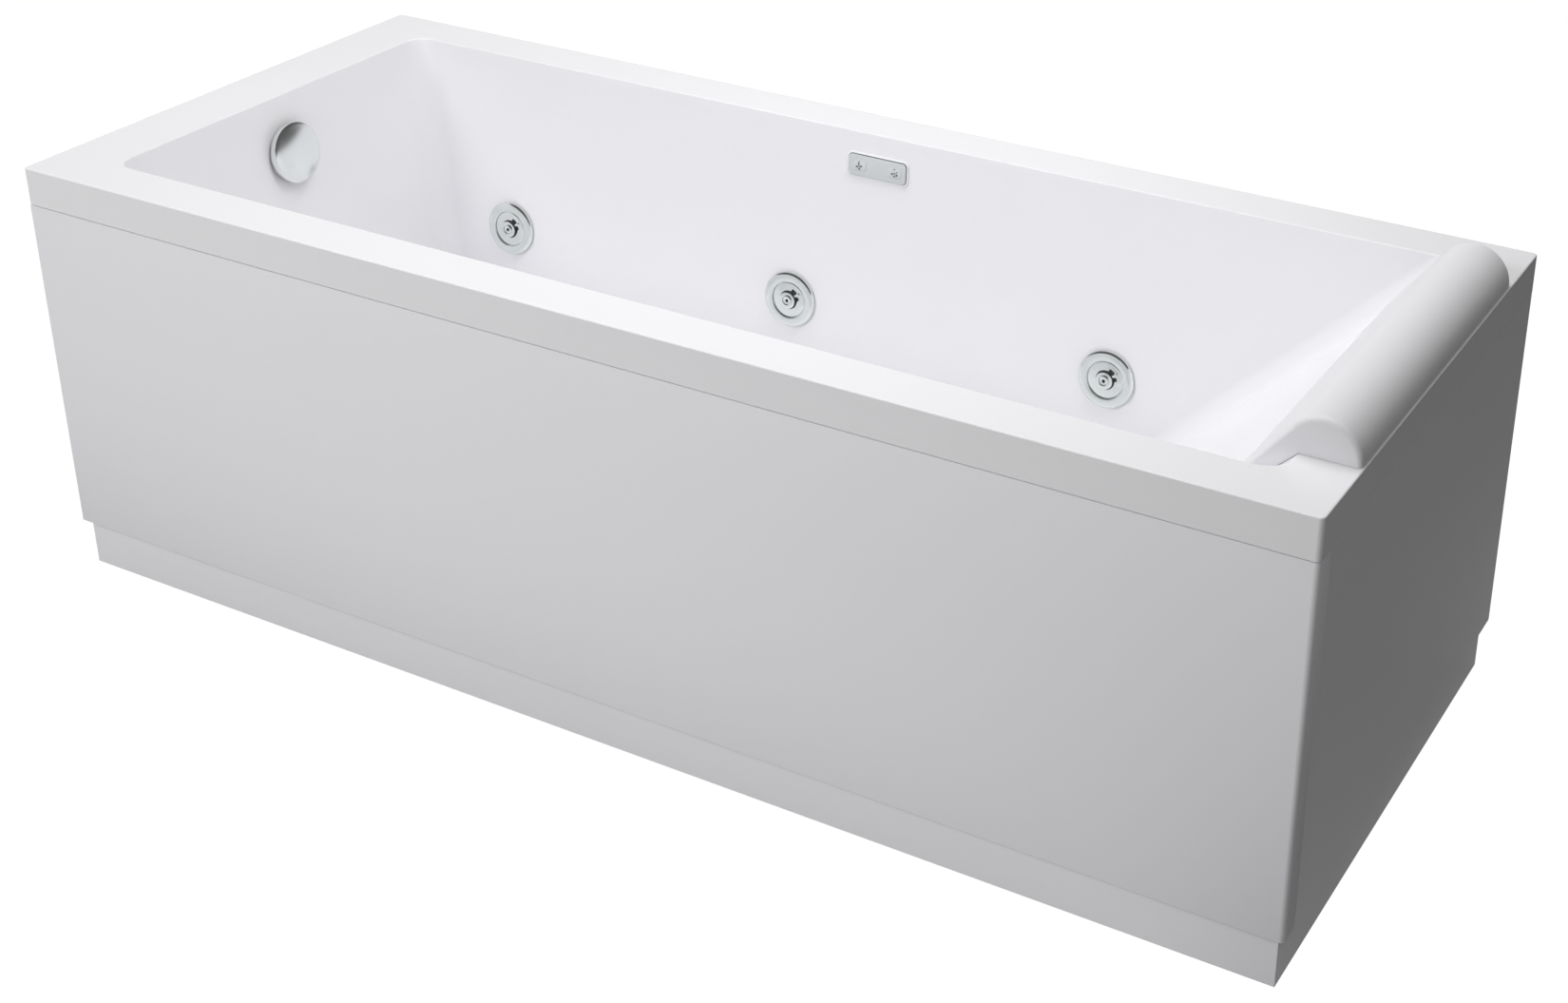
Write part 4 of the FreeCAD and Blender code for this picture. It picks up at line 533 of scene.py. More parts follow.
# %% Acrylic and the other bathroom finishes
FINISH = {}
FINISH["acrylic"] = finish_of("white_acrylic", (0.880, 0.876, 0.902), (0.888, 0.884, 0.910),
                              rough=(0.20, 0.26), scale=2.0, fine_scale=60.0, bump=(0.02, 0.0003))
FINISH["panel"] = finish_of("panel_acrylic", (0.870, 0.863, 0.902), (0.880, 0.873, 0.912),
                            rough=(0.28, 0.34), scale=1.5, fine_scale=80.0, bump=(0.02, 0.0003))
FINISH["plinth"] = finish_of("plinth_acrylic", (0.860, 0.853, 0.890), (0.872, 0.865, 0.902),
                             rough=(0.34, 0.42), scale=2.0, fine_scale=90.0, bump=(0.03, 0.0003))
FINISH["jet_chrome"] = finish_of("satin_chrome", (0.82, 0.86, 0.84), (0.87, 0.91, 0.89),
                                 rough=(0.12, 0.18), scale=40.0, fine_scale=700.0, bump=(0.012, 0.0001),
                                 metal=1.0)
FINISH["chrome"] = finish_of("polished_chrome", (0.84, 0.87, 0.86), (0.88, 0.91, 0.90),
                             rough=(0.18, 0.22), scale=30.0, fine_scale=400.0, bump=(0.015, 0.0001),
                             metal=1.0)
FINISH["keypad"] = finish_of("keypad_face", (0.62, 0.64, 0.65), (0.66, 0.68, 0.69),
                             rough=(0.30, 0.38), scale=40.0, fine_scale=900.0, bump=(0.08, 0.0001))
FINISH["key"] = finish_of("key_caps", (0.64, 0.66, 0.67), (0.68, 0.70, 0.71),
                          rough=(0.34, 0.42), scale=40.0, fine_scale=900.0, bump=(0.10, 0.0001))
FINISH["bezel"] = finish_of("keypad_bezel", (0.87, 0.87, 0.89), (0.90, 0.90, 0.92),
                            rough=(0.16, 0.24), scale=40.0, fine_scale=600.0, bump=(0.04, 0.0001), coat=0.3)
# Painted shade: this dark finish on the walls of the jet dials' holes and boss groove stands for the shade in
# those recesses.
FINISH["recess_shade"] = finish_of("recess_shade", (0.05, 0.055, 0.055), (0.08, 0.085, 0.085),
                                    rough=(0.35, 0.45), scale=60.0, fine_scale=900.0, bump=(0.02, 0.0001))
# Icon ink. It also darkens the keypad seam, where it is partly painted shade along the face's top and right edges.
FINISH["icon"] = finish_of("icon_ink_and_seam_shade", (0.09, 0.12, 0.12), (0.14, 0.17, 0.17),
                           rough=(0.40, 0.50), scale=60.0, fine_scale=900.0, bump=(0.02, 0.0001))
print("finishes", sorted(FINISH))

# %% Skin of the headrest
# The headrest is moulded foam with its own skin. The skin takes a faint leather grain from the mould, which
# stands in for the bump that other finishes have.
GRAIN_SCALE = 620.0
GRAIN_STRENGTH = 0.06
GRAIN_DEPTH = 0.0003
skin = finish_of("foam_skin", (0.795, 0.790, 0.820), (0.810, 0.805, 0.835),
                 rough=(0.42, 0.52), scale=8.0, fine_scale=260.0, bump=(0.05, 0.0004))
skin_tree = skin.node_tree
cells = skin_tree.nodes.new("ShaderNodeTexVoronoi")
cells.feature = "DISTANCE_TO_EDGE"
cells.inputs["Scale"].default_value = GRAIN_SCALE
skin_where = skin_tree.nodes.new("ShaderNodeTexCoord")
skin_tree.links.new(skin_where.outputs["Object"], cells.inputs["Vector"])
skin_bump = raise_by(skin_tree, cells.outputs["Distance"], GRAIN_STRENGTH, GRAIN_DEPTH)
skin_tree.links.new(skin_bump, skin_tree.nodes["Principled BSDF"].inputs["Normal"])
FINISH["foam"] = skin
print("headrest skin grain", GRAIN_SCALE)

# %% Finishes behind the panels
FINISH["board"] = finish_of("chipboard", (0.42, 0.29, 0.17), (0.62, 0.47, 0.30),
                            rough=(0.62, 0.78), scale=120.0, fine_scale=500.0, bump=(0.35, 0.0008))
FINISH["frame_steel"] = finish_of("powder_coated_steel", (0.20, 0.21, 0.22), (0.25, 0.26, 0.27),
                                  rough=(0.42, 0.52), scale=8.0, fine_scale=700.0, bump=(0.25, 0.0003))
FINISH["zinc"] = drawn_metal("zinc_plated_steel", (0.50, 0.50, 0.48), (0.74, 0.74, 0.72),
                             rough=(0.25, 0.42), stretch=(60, 60, 900), strength=0.10)
FINISH["rotor"] = drawn_metal("turned_steel", (0.48, 0.48, 0.49), (0.70, 0.70, 0.71),
                              rough=(0.18, 0.32), stretch=(900, 60, 900), strength=0.10)
FINISH["clip_plastic"] = finish_of("black_nylon", (0.025, 0.025, 0.027), (0.05, 0.05, 0.052),
                                   rough=(0.40, 0.55), scale=40.0, fine_scale=900.0, bump=(0.15, 0.0002))
FINISH["pipe"] = finish_of("rigid_pvc", (0.70, 0.72, 0.73), (0.78, 0.80, 0.81),
                           rough=(0.28, 0.40), scale=12.0, fine_scale=300.0, bump=(0.08, 0.0003))
FINISH["hose"] = finish_of("grey_hose", (0.42, 0.45, 0.48), (0.52, 0.55, 0.58),
                           rough=(0.35, 0.48), scale=14.0, fine_scale=400.0, bump=(0.12, 0.0003))
FINISH["pump_paint"] = finish_of("cast_motor_paint", (0.025, 0.03, 0.045), (0.05, 0.055, 0.07),
                                 rough=(0.38, 0.52), scale=20.0, fine_scale=350.0, bump=(0.30, 0.0005),
                                 metal=0.2)
FINISH["pump_plastic"] = finish_of("glass_filled_nylon", (0.02, 0.02, 0.022), (0.045, 0.045, 0.048),
                                   rough=(0.35, 0.48), scale=30.0, fine_scale=600.0, bump=(0.20, 0.0003))
FINISH["jet_plastic"] = finish_of("fitting_plastic", (0.68, 0.70, 0.71), (0.77, 0.79, 0.80),
                                  rough=(0.30, 0.42), scale=20.0, fine_scale=500.0, bump=(0.10, 0.0002))
FINISH["seal"] = finish_of("gasket_rubber", (0.02, 0.02, 0.02), (0.05, 0.05, 0.05),
                           rough=(0.55, 0.70), scale=60.0, fine_scale=900.0, bump=(0.20, 0.0002))
FINISH["circuit"] = finish_of("circuit_board", (0.01, 0.10, 0.04), (0.03, 0.20, 0.08),
                              rough=(0.25, 0.40), scale=300.0, fine_scale=1500.0, bump=(0.15, 0.0001))
FINISH["cable"] = finish_of("cable_sheath", (0.015, 0.015, 0.016), (0.035, 0.035, 0.036),
                            rough=(0.40, 0.52), scale=40.0, fine_scale=700.0, bump=(0.10, 0.0002))
FINISH["case"] = finish_of("control_case", (0.60, 0.60, 0.58), (0.68, 0.68, 0.66),
                           rough=(0.40, 0.52), scale=16.0, fine_scale=800.0, bump=(0.30, 0.0002))
for row in frame["record"]["subparts"]:
    piece = frame["nodes"][row["node"]]
    piece.data.materials.clear()
    piece.data.materials.append(FINISH[row["material_slot"]])


def complete(obj, finish, body, stands_for=()):
    """Gives a finished piece its finish and its body, and hides the measured pieces that it stands for."""
    if not any(obj.data.materials):
        obj.data.materials.clear()
        obj.data.materials.append(FINISH[finish])
    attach(obj, body)
    if stands_for:
        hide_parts(*stands_for)
    print(obj.name, "faces", len(obj.data.polygons), "size", [round(d, 4) for d in obj.dimensions])


# %% [markdown]
# ## The tub
#
# The real tub is one sheet of acrylic, sucked down over a mould: a flat rim with a turned-down edge, and a
# basin with leaning walls, a sloping backrest and soft corners. It could be carved out of a solid block, but
# a sheet is how it is really made. So the lesson starts from a flat box, opens it below, insets the rim and
# pulls the basin down from the middle. The big corners are rounded while it is still a thin skin. The wall
# gets its thickness next, and the small edges come last, because they are smaller than that thickness.

# %% Tub sizes and wall places
# LENGTH, WIDTH and HEIGHT come from the measured tub. The other sizes are this lesson's, in metres.
LENGTH = tub_high.x - tub_low.x
WIDTH = tub_high.y - tub_low.y
HEIGHT = tub_high.z
FASCIA = 0.0485
RIM_SIDE = 0.065
RIM_FOOT = 0.088
RIM_HEAD = 0.067
DEPTH = 0.420
SHEET = 0.005
LEAN_SIDE = math.radians(5.3)
LEAN_FOOT = math.radians(9.0)
LEAN_HEAD = math.radians(46.0)
HALF_L = LENGTH / 2
HALF_W = WIDTH / 2
BASIN_FLOOR = HEIGHT - DEPTH


def side_wall_y(z):
    return HALF_W - RIM_SIDE - (HEIGHT - z) * math.tan(LEAN_SIDE)


def place_on(point, normal):
    """A place on a wall: its Z axis points into the basin and its Y axis up the wall."""
    out = Vector(normal).normalized()
    up = (Vector((0, 0, 1)) - out * out.z).normalized()
    return Matrix.Translation(Vector(point)) @ Matrix((up.cross(out), up, out)).transposed().to_4x4()


def on_side_wall(x, z, side):
    return place_on((x, side * side_wall_y(z), z), (0, -side * math.cos(LEAN_SIDE), math.sin(LEAN_SIDE)))


def on_foot_wall(z):
    x = -HALF_L + RIM_FOOT + (HEIGHT - z) * math.tan(LEAN_FOOT)
    return place_on((x, 0, z), (math.cos(LEAN_FOOT), 0, math.sin(LEAN_FOOT)))


JET_PLACES = []
for joint in frame["joints"]:
    if joint["name"].endswith("_turn") and joint["name"].startswith("jet_"):
        JET_PLACES.append(place_on(joint["pos_m"], joint["axis"]))
SUCTION_PLACE = on_side_wall(x=0.200, z=0.235, side=-1)
KEYPAD_PLACE = on_side_wall(x=0.0025, z=0.522, side=1)
OVERFLOW_PLACE = on_foot_wall(z=0.489)
WASTE_X = -0.560
WASTE_PLACE = Matrix.Translation(Vector((WASTE_X, 0, BASIN_FLOOR)))
print("jets at", [tuple(round(c, 3) for c in p.translation) for p in JET_PLACES])

# %% Flat box to basin
OFF_EDGE = 0.01
tub = block("acrylic_tub", (-HALF_L, -HALF_W, HEIGHT - FASCIA), (HALF_L, HALF_W, HEIGHT))
edit(tub)
pick("FACE", lambda f: f.normal.z < -FACING)
bpy.ops.mesh.delete(type="FACE")
pick("FACE", lambda f: f.normal.z > FACING)
bpy.ops.mesh.inset(thickness=RIM_SIDE)
pick("EDGE", lambda e: all(-HALF_L + OFF_EDGE < v.co.x < -HALF_L + RIM_SIDE + NEAR for v in e.verts))
move(x=RIM_FOOT - RIM_SIDE)
pick("EDGE", lambda e: all(HALF_L - RIM_SIDE - NEAR < v.co.x < HALF_L - OFF_EDGE for v in e.verts))
move(x=RIM_SIDE - RIM_HEAD)
OPENING_AREA = 0.5
pick("FACE", lambda f: f.normal.z > FACING and f.calc_area() > OPENING_AREA)
pull(z=-DEPTH)
# Each row gives the axis and the side of one edge of the floor, and its shift along that axis per metre down.
FLOOR_EDGES = [("y", 1, -math.tan(LEAN_SIDE)), ("y", -1, math.tan(LEAN_SIDE)),
               ("x", -1, math.tan(LEAN_FOOT)), ("x", 1, -math.tan(LEAN_HEAD))]


def is_low(edge):
    return all(abs(v.co.z - BASIN_FLOOR) < NEAR for v in edge.verts)


def drop(edge):
    """How far apart in height an edge's two ends are."""
    return abs(edge.verts[0].co.z - edge.verts[1].co.z)


for axis, sign, slope in FLOOR_EDGES:
    along = 0 if axis == "x" else 1
    pick("EDGE", lambda e: is_low(e) and abs(e.verts[0].co[along] - e.verts[1].co[along]) < NEAR
         and sign * e.verts[0].co[along] > 0)
    move(**{axis: slope * DEPTH})
bpy.ops.object.mode_set(mode="OBJECT")
low_points = [v.co for v in tub.data.vertices if v.co.z < BASIN_FLOOR + NEAR]
print("basin floor", [tuple(round(c, 4) for c in point) for point in low_points])

# %% Big corners, wall thickness, small edges
CORNER_R = 0.027
FASCIA_R = 0.006
RIM_R = 0.0018
HEM_R = 0.0008
ON_TOP = 0.0005
RIM_BAND = 0.02
HEM_BAND = 0.002
FLAT = 0.99
FALLING = 0.95
edit(tub)
pick("EDGE", lambda e: is_low(e) or drop(e) > DEPTH / 2)
round_off(CORNER_R, 8)
pick("EDGE", lambda e: drop(e) > FASCIA / 2
     and all(abs(v.co.x) > HALF_L - NEAR and abs(v.co.y) > HALF_W - NEAR for v in e.verts))
round_off(FASCIA_R, 5)
bpy.ops.object.mode_set(mode="OBJECT")
modify(tub, "SOLIDIFY", thickness=SHEET, offset=-1.0, use_even_offset=True, use_rim=True)


def lies_out(edge, band):
    """An edge with an end in the outermost band of the tub."""
    return any(abs(v.co.x) > HALF_L - band or abs(v.co.y) > HALF_W - band for v in edge.verts)


def meets_top(edge):
    """An edge between the rim's flat top and a face that falls away from it."""
    if len(edge.link_faces) != 2 or any(abs(v.co.z - HEIGHT) > ON_TOP for v in edge.verts):
        return False
    tilts = sorted(f.normal.z for f in edge.link_faces)
    return tilts[1] > FLAT and tilts[0] < FALLING


def is_hem(edge):
    """An outer edge at the bottom of the turned-down rim."""
    if len(edge.link_faces) != 2 or any(abs(v.co.z - HEIGHT + FASCIA) > ON_TOP for v in edge.verts):
        return False
    return min(f.normal.z for f in edge.link_faces) < -FACING and lies_out(edge, HEM_BAND)


edit(tub)
print("outer edges", pick("EDGE", lambda e: meets_top(e) and lies_out(e, RIM_BAND)))
round_off(RIM_R, 3)
print("opening edges", pick("EDGE", lambda e: meets_top(e) and not lies_out(e, RIM_BAND)))
round_off(RIM_R, 3)
print("hem edges", pick("EDGE", is_hem))
round_off(HEM_R, 2)
bpy.ops.object.mode_set(mode="OBJECT")

# %% Holes for the fittings
JET_HOLE_R = 0.025
SUCTION_HOLE_R = 0.033
OVERFLOW_HOLE_R = 0.027
WASTE_HOLE_R = 0.028
KEYPAD_HOLE_W = 0.081
KEYPAD_HOLE_H = 0.028


def drill(radius, place, steps=48, depth=0.05):
    """A round cutter about a place's Z axis."""
    clear()
    bpy.ops.mesh.primitive_cylinder_add(vertices=steps, radius=radius, depth=depth)
    cutter = named("drill")
    cutter.data.transform(place)
    return cutter


def slotted_block(name, width, height, radius, low, high, steps=6):
    """A plate with rounded corners, lying in the XY plane between two heights."""
    plate = block(name, (-width / 2, -height / 2, low), (width / 2, height / 2, high))
    edit(plate)
    pick("EDGE", lambda e: drop(e) > (high - low) / 2)
    round_off(radius, steps)
    bpy.ops.object.mode_set(mode="OBJECT")
    return plate


cutters = [drill(JET_HOLE_R, place) for place in JET_PLACES]
cutters.append(drill(SUCTION_HOLE_R, SUCTION_PLACE))
cutters.append(drill(OVERFLOW_HOLE_R, OVERFLOW_PLACE))
cutters.append(drill(WASTE_HOLE_R, WASTE_PLACE))
window = slotted_block("window", KEYPAD_HOLE_W, KEYPAD_HOLE_H, radius=0.003, low=-0.02, high=0.02)
window.data.transform(KEYPAD_PLACE)
cutters.append(window)
carve(tub, cutters)
smooth(tub, 30)
modify(tub, "WEIGHTED_NORMAL", keep_sharp=True, weight=60)
complete(tub, "acrylic", "tub", ["tub_shell"])

# %% [markdown]
# ## Panels and plinths
#
# The front panel is a flat sheet that turns the head-end corner with a short return, so that its joint lies
# on the shaded side. It is a plane that is pulled round its corner, rounded and given thickness. End panels
# butt against it. The plinths stand a little further back, which leaves room for toes and a shadow line. End
# panels and plinths are flat sheets with broken edges.

# %% Front panel
panel_low, panel_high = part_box("front_panel")
PANEL_SHEET = 0.004
PANEL_BEND = 0.006
SHEET_EDGE = 0.0006


def upright_sheet(name, x0, x1, y, z0, z1):
    """A plane that stands along X and faces the front."""
    clear()
    middle = ((x0 + x1) / 2, y, (z0 + z1) / 2)
    bpy.ops.mesh.primitive_plane_add(size=1.0, location=middle, rotation=(math.pi / 2, 0, 0))
    bpy.context.object.scale = (x1 - x0, z1 - z0, 1)
    return named(name)


front = upright_sheet("front_cladding", panel_low.x, panel_high.x, panel_low.y, panel_low.z, panel_high.z)
edit(front)
pick("EDGE", lambda e: all(v.co.x > panel_high.x - NEAR for v in e.verts))
pull(y=panel_high.y - panel_low.y)
pick("EDGE", lambda e: all(v.co.x > panel_high.x - NEAR and v.co.y < panel_low.y + NEAR for v in e.verts))
round_off(PANEL_BEND, 6)
bpy.ops.object.mode_set(mode="OBJECT")
modify(front, "SOLIDIFY", thickness=PANEL_SHEET, offset=-1.0, use_even_offset=True)
soften(front, SHEET_EDGE, degrees=50)
smooth(front, 30)
complete(front, "panel", "tub", ["front_panel"])

# %% End panels and plinths
EDGE_LOOP = 0.0012


def cladding(node, name, finish):
    """A flat cladding sheet with broken edges. An inset keeps its outer face evenly lit up to them."""
    low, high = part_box(node)
    sheet = block(name, low, high)
    edit(sheet)
    flat = min(range(2), key=lambda i: (high - low)[i])
    inward = -1 if (low + high)[flat] > 0 else 1
    pick("FACE", lambda f: f.normal[flat] * inward < -FACING)
    bpy.ops.mesh.inset(thickness=EDGE_LOOP)
    bpy.ops.object.mode_set(mode="OBJECT")
    soften(sheet, SHEET_EDGE, degrees=50)
    smooth(sheet, 30)
    complete(sheet, finish, "tub", [node])


for side in ("head_end", "foot_end"):
    cladding(side + "_panel", side + "_cladding", "panel")
for side in ("front", "head_end", "foot_end"):
    cladding(side + "_plinth", side + "_kickboard", "plinth")

# %% [markdown]
# ## Headrest
#
# The headrest is moulded foam that hooks over the rim: flat underneath, rounded over the top and running out
# in a thin lip down the backrest. It isn't sewn and holds no filling that could sag, so it needs no cloth.
# Its side outline is drawn point by point, a round roll with a ramp down to the thin lip, and pulled out to
# its width. Both end faces are rounded.

# %% Headrest outline and body
# The outline is in millimetres. Its underside runs from the rim's outer part over the rim's edge and down the
# backrest to the thin lip.
rest_low, rest_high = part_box("headrest")
ROLL_R = 42.0
ROLL_X = rest_high.x * 1000 - ROLL_R
ROLL_Z = rest_high.z * 1000 - ROLL_R
NOSE = (712.3, 516.4)
UNDERSIDE = [(848.0, 567.3), (782.7, 567.3), (723.7, 510.5), (720.6, 510.4), (715.2, 512.6), (712.5, 514.6)]
END_ROUND = 0.0065


def arc(middle, radius, start, end, steps):
    """Points on an arc about a middle, from one angle to another, in degrees."""
    angles = [math.radians(start + (end - start) * i / steps) for i in range(steps + 1)]
    return [(middle[0] + radius * math.cos(a), middle[1] + radius * math.sin(a)) for a in angles]


reach = math.hypot(ROLL_X - NOSE[0], ROLL_Z - NOSE[1])
ramp = math.degrees(math.atan2(ROLL_Z - NOSE[1], ROLL_X - NOSE[0]) + math.asin(ROLL_R / reach))
outline = UNDERSIDE + [NOSE] + arc((ROLL_X, ROLL_Z), ROLL_R, start=ramp + 90, end=0, steps=26)
headrest = drawn("foam_headrest", outline)
bpy.ops.mesh.select_all(action="SELECT")
bpy.ops.mesh.edge_face_add()
move(y=rest_low.y)
pull(y=rest_high.y - rest_low.y)
bpy.ops.mesh.select_all(action="SELECT")
bpy.ops.mesh.normals_make_consistent(inside=False)
pick("EDGE", lambda e: any(abs(f.normal.y) > FLAT for f in e.link_faces)
     and max(v.co.z for v in e.verts) > HEIGHT + NEAR)
round_off(END_ROUND, 6)
bpy.ops.object.mode_set(mode="OBJECT")
soften(headrest, 0.0012, degrees=50)
smooth(headrest, 40)
modify(headrest, "WEIGHTED_NORMAL", keep_sharp=True, weight=60)
complete(headrest, "foam", "cushion", ["headrest"])

# %% [markdown]
# ## Jets
#
# A jet is three turned pieces: a ring screwed through the wall, a dial that sits in the ring and is turned to
# set its air, and a ball nozzle that aims the water. Turned pieces come straight off a lathe, so each is an
# outline spun about its axis. The dial gets a groove round its boss, two holes and a ridge for the thumb. The
# walls of the groove and the holes are painted dark, as painted shade in these recesses. One jet is made at
# the origin and copied to the six places, and each copy rides on its own joint.

# %% Ring, dial and nozzle of one jet
# Outlines are in millimetres: the radius, and the height above the wall.
RING_OUTLINE = [(20, -18), (24, -18), (24, 1), (38.2, 1), (38.5, 1.5), (38.5, 3.4), (38.1, 4.7), (37.2, 5.7),
                (36.0, 6.4), (34.5, 6.85), (32.5, 7.0), (27.0, 7.0), (26.1, 6.8), (25.6, 6.3), (25.5, 5.6),
                (25.5, 4.0), (20, 4.0), (20, -18)]
DIAL_OUTLINE = [(6.4, 10.05), (10.6, 10.05), (11.4, 9.8), (11.9, 9.3), (12.2, 8.6), (12.4, 7.2), (12.6, 6.3),
                (12.8, 5.95), (22.2, 5.85), (23.6, 5.6), (24.6, 5.1), (25.1, 4.6), (25.3, 4.1), (19.9, 4.1),
                (19.9, -20.0), (7.2, -20.0), (7.2, -2.0), (9.0, 1.5), (9.05, 3.6), (8.6, 6.4), (7.6, 8.5),
                (6.4, 10.05)]
NOZZLE_OUTLINE = [(2.0, -4.8), (5.5, -3.6), (7.8, -0.9), (8.8, 1.6), (9.0, 3.55), (8.8, 5.6), (8.0, 7.7),
                  (6.9, 9.3), (6.4, 9.9), (6.4, 10.6), (7.0, 11.2), (7.2, 12.0), (7.0, 12.6), (6.5, 12.8),
                  (6.0, 12.6), (5.7, 12.0), (5.5, 11.2), (4.9, 10.8), (2.6, 10.6), (2.1, 10.3), (2.0, 9.6),
                  (2.0, -4.8)]
GROOVE_OUTLINE = [(11.6, 4.4), (13.2, 4.4), (13.2, 12.0), (11.6, 12.0), (11.6, 4.4)]
ring = turned("jet_ring_pattern", RING_OUTLINE, steps=96)
dial = turned("jet_dial_pattern", DIAL_OUTLINE, steps=96)


def at_angle(radius, degrees):
    """A place on the dial's face, at a distance from its axis."""
    return Matrix.Rotation(math.radians(degrees), 4, "Z") @ Matrix.Translation(Vector((radius, 0, 0)))


# Each hole in the dial: its distance from the axis, its angle, its width and its height.
KEY_SLOTS = [(0.0152, 57, 0.0048, 0.0082), (0.0146, 14, 0.0036, 0.0052)]
key_slots = []
for radius, degrees, wide, tall in KEY_SLOTS:
    slot = slotted_block("key_slot", wide, tall, radius=0.0012, low=0.0042, high=0.0120, steps=4)
    # The hole walls take a dark finish: painted shade in the recess.
    slot.data.materials.append(FINISH["recess_shade"])
    slot.data.transform(at_angle(radius, degrees))
    key_slots.append(slot)
groove = turned("boss_groove", GROOVE_OUTLINE, steps=72)
# The groove's walls take the same dark finish: painted shade round the boss.
groove.data.materials.append(FINISH["recess_shade"])
dial.data.materials.append(FINISH["jet_chrome"])
carve(dial, key_slots)
carve(dial, [groove])
TAB_W = 0.0085
TAB_H = 0.0030
thumb = slotted_block("thumb_tab", TAB_W, TAB_H, radius=0.0012, low=0.0054, high=0.0082, steps=4)
soften(thumb, 0.0005, degrees=50)
thumb.data.materials.append(FINISH["jet_chrome"])
thumb.data.transform(at_angle(radius=0.0158, degrees=35))
dial = fuse("jet_dial_pattern", [dial, thumb])
nozzle = turned("jet_nozzle_pattern", NOZZLE_OUTLINE, steps=64)
for pattern in (ring, dial, nozzle):
    smooth(pattern, 40)
for pattern in (ring, nozzle):
    pattern.data.materials.append(FINISH["jet_chrome"])
print("jet faces", [len(p.data.polygons) for p in (ring, dial, nozzle)])

# %% Six jets in their places
rings = []
for number, place in enumerate(JET_PLACES, start=1):
    rings.append(copy_to(ring, "jet_ring_%d" % number, place))
    one_dial = copy_to(dial, "turning_dial_%d" % number, place)
    complete(one_dial, "jet_chrome", "dial_%d" % number, ["jet_dial_%d" % number])
    one_nozzle = copy_to(nozzle, "ball_nozzle_%d" % number, place)
    complete(one_nozzle, "jet_chrome", "nozzle_%d" % number, ["jet_nozzle_%d" % number])
all_rings = fuse("wall_rings", rings)
complete(all_rings, "jet_chrome", "tub", ["jet_rings"])
for pattern in (ring, dial, nozzle):
    bpy.data.objects.remove(pattern)

# %% [markdown]
# ## Overflow control
#
# The polished knob high on the foot wall hides the overflow holes and opens the waste when it is turned. It
# is a shallow cap with a slightly domed face, held off the wall so that water can run in behind it.

# %% Knob and rosette
DOME_R = 140.0
DOME_TOP = 19.9
DOME_RADII = (0, 6, 12, 18, 23, 28, 32, 35.5, 38.4)
KNOB_EDGE = [(39.4, 14.1), (40.3, 13.6), (40.8, 12.9), (41.0, 12.0), (41.0, 5.4), (40.8, 5.0), (38.7, 5.0),
             (38.5, 5.3), (38.5, 11.0), (37.8, 11.6), (5, 12.4), (5, -27), (0, -27)]
ROSE_OUTLINE = [(5.1, 4.0), (30.5, 4.0), (32.6, 3.5), (33.7, 2.3), (34.0, 0.6), (34.0, 0.0), (9.0, 0.0),
                (9.0, -5.0), (5.1, -5.0), (5.1, 4.0)]
DRAIN_HOLES = 6
DRAIN_CIRCLE = 0.018
DRAIN_R = 0.005
dome = [(r, DOME_TOP - DOME_R + math.sqrt(DOME_R ** 2 - r * r)) for r in DOME_RADII]
knob = turned("overflow_cap", dome + KNOB_EDGE, steps=128)
smooth(knob, 40)
knob.data.transform(OVERFLOW_PLACE)
complete(knob, "chrome", "knob", ["overflow_knob"])
rosette = turned("overflow_rose", ROSE_OUTLINE, steps=96)
drain_holes = []
for index in range(DRAIN_HOLES):
    angle = math.tau / DRAIN_HOLES * index
    spot = Vector((DRAIN_CIRCLE * math.cos(angle), DRAIN_CIRCLE * math.sin(angle), 0.002))
    drain_holes.append(drill(DRAIN_R, Matrix.Translation(spot), steps=32, depth=0.02))
carve(rosette, drain_holes)
smooth(rosette, 40)
rosette.data.transform(OVERFLOW_PLACE)
complete(rosette, "chrome", "tub", ["overflow_rosette"])

# %% [markdown]
# ## Keypad
#
# Two sprung keys under the rim start the water and the air. The keypad is a rounded plate with a pale frame
# and a dark seam round its face. The seam is set a little up and to the right, so that it also paints shade
# along the top and right edges of the face. Each key carries a small picture: a propeller for the pump and
# bubbles for the air. The pictures are raised ink, so they are thin pieces of their own on the keys.

# %% Plate and frame
PLATE_W = 0.092
PLATE_H = 0.035
SEAM_IN = 0.0050
FACE_IN = 0.0066
# The seam sits off centre, up and to the right: painted shade along the top and right edges of the face.
PAINTED_SHADE_SHIFT = Vector((0.0004, 0.0005, 0))
KEY_X = 0.0265
KEY_W = 0.020
KEY_H = 0.013
KEY_R = 0.003
WINDOW_W = 0.0203
WINDOW_H = 0.0133
surround = slotted_block("keypad_surround", PLATE_W, PLATE_H, radius=0.0080, low=0.0, high=0.0022, steps=8)
soften(surround, 0.0008, steps=3, degrees=50)
surround.data.materials.append(FINISH["bezel"])
# A dark seam round the face. Its shift paints shade along the face's top and right edges.
seam_and_painted_shade = slotted_block("keypad_seam_and_painted_shade", PLATE_W - SEAM_IN, PLATE_H - SEAM_IN,
                     radius=0.0062, low=0.0010, high=0.0025, steps=8)
seam_and_painted_shade.data.materials.append(FINISH["icon"])
seam_and_painted_shade.data.transform(Matrix.Translation(PAINTED_SHADE_SHIFT))
face = slotted_block("keypad_face_plate", PLATE_W - FACE_IN, PLATE_H - FACE_IN,
                     radius=0.0055, low=0.0010, high=0.0032, steps=8)
soften(face, 0.0006, steps=3, degrees=50)
face.data.materials.append(FINISH["keypad"])
housing = slotted_block("keypad_housing", PLATE_W - 0.012, PLATE_H - 0.008,
                        radius=0.003, low=-0.020, high=0.001, steps=4)
housing.data.materials.append(FINISH["keypad"])
windows = []
for x in (-KEY_X, KEY_X):
    window = slotted_block("key_window", WINDOW_W, WINDOW_H, radius=KEY_R, low=-0.001, high=0.01)
    window.data.transform(Matrix.Translation(Vector((x, 0, 0))))
    windows.append(window)
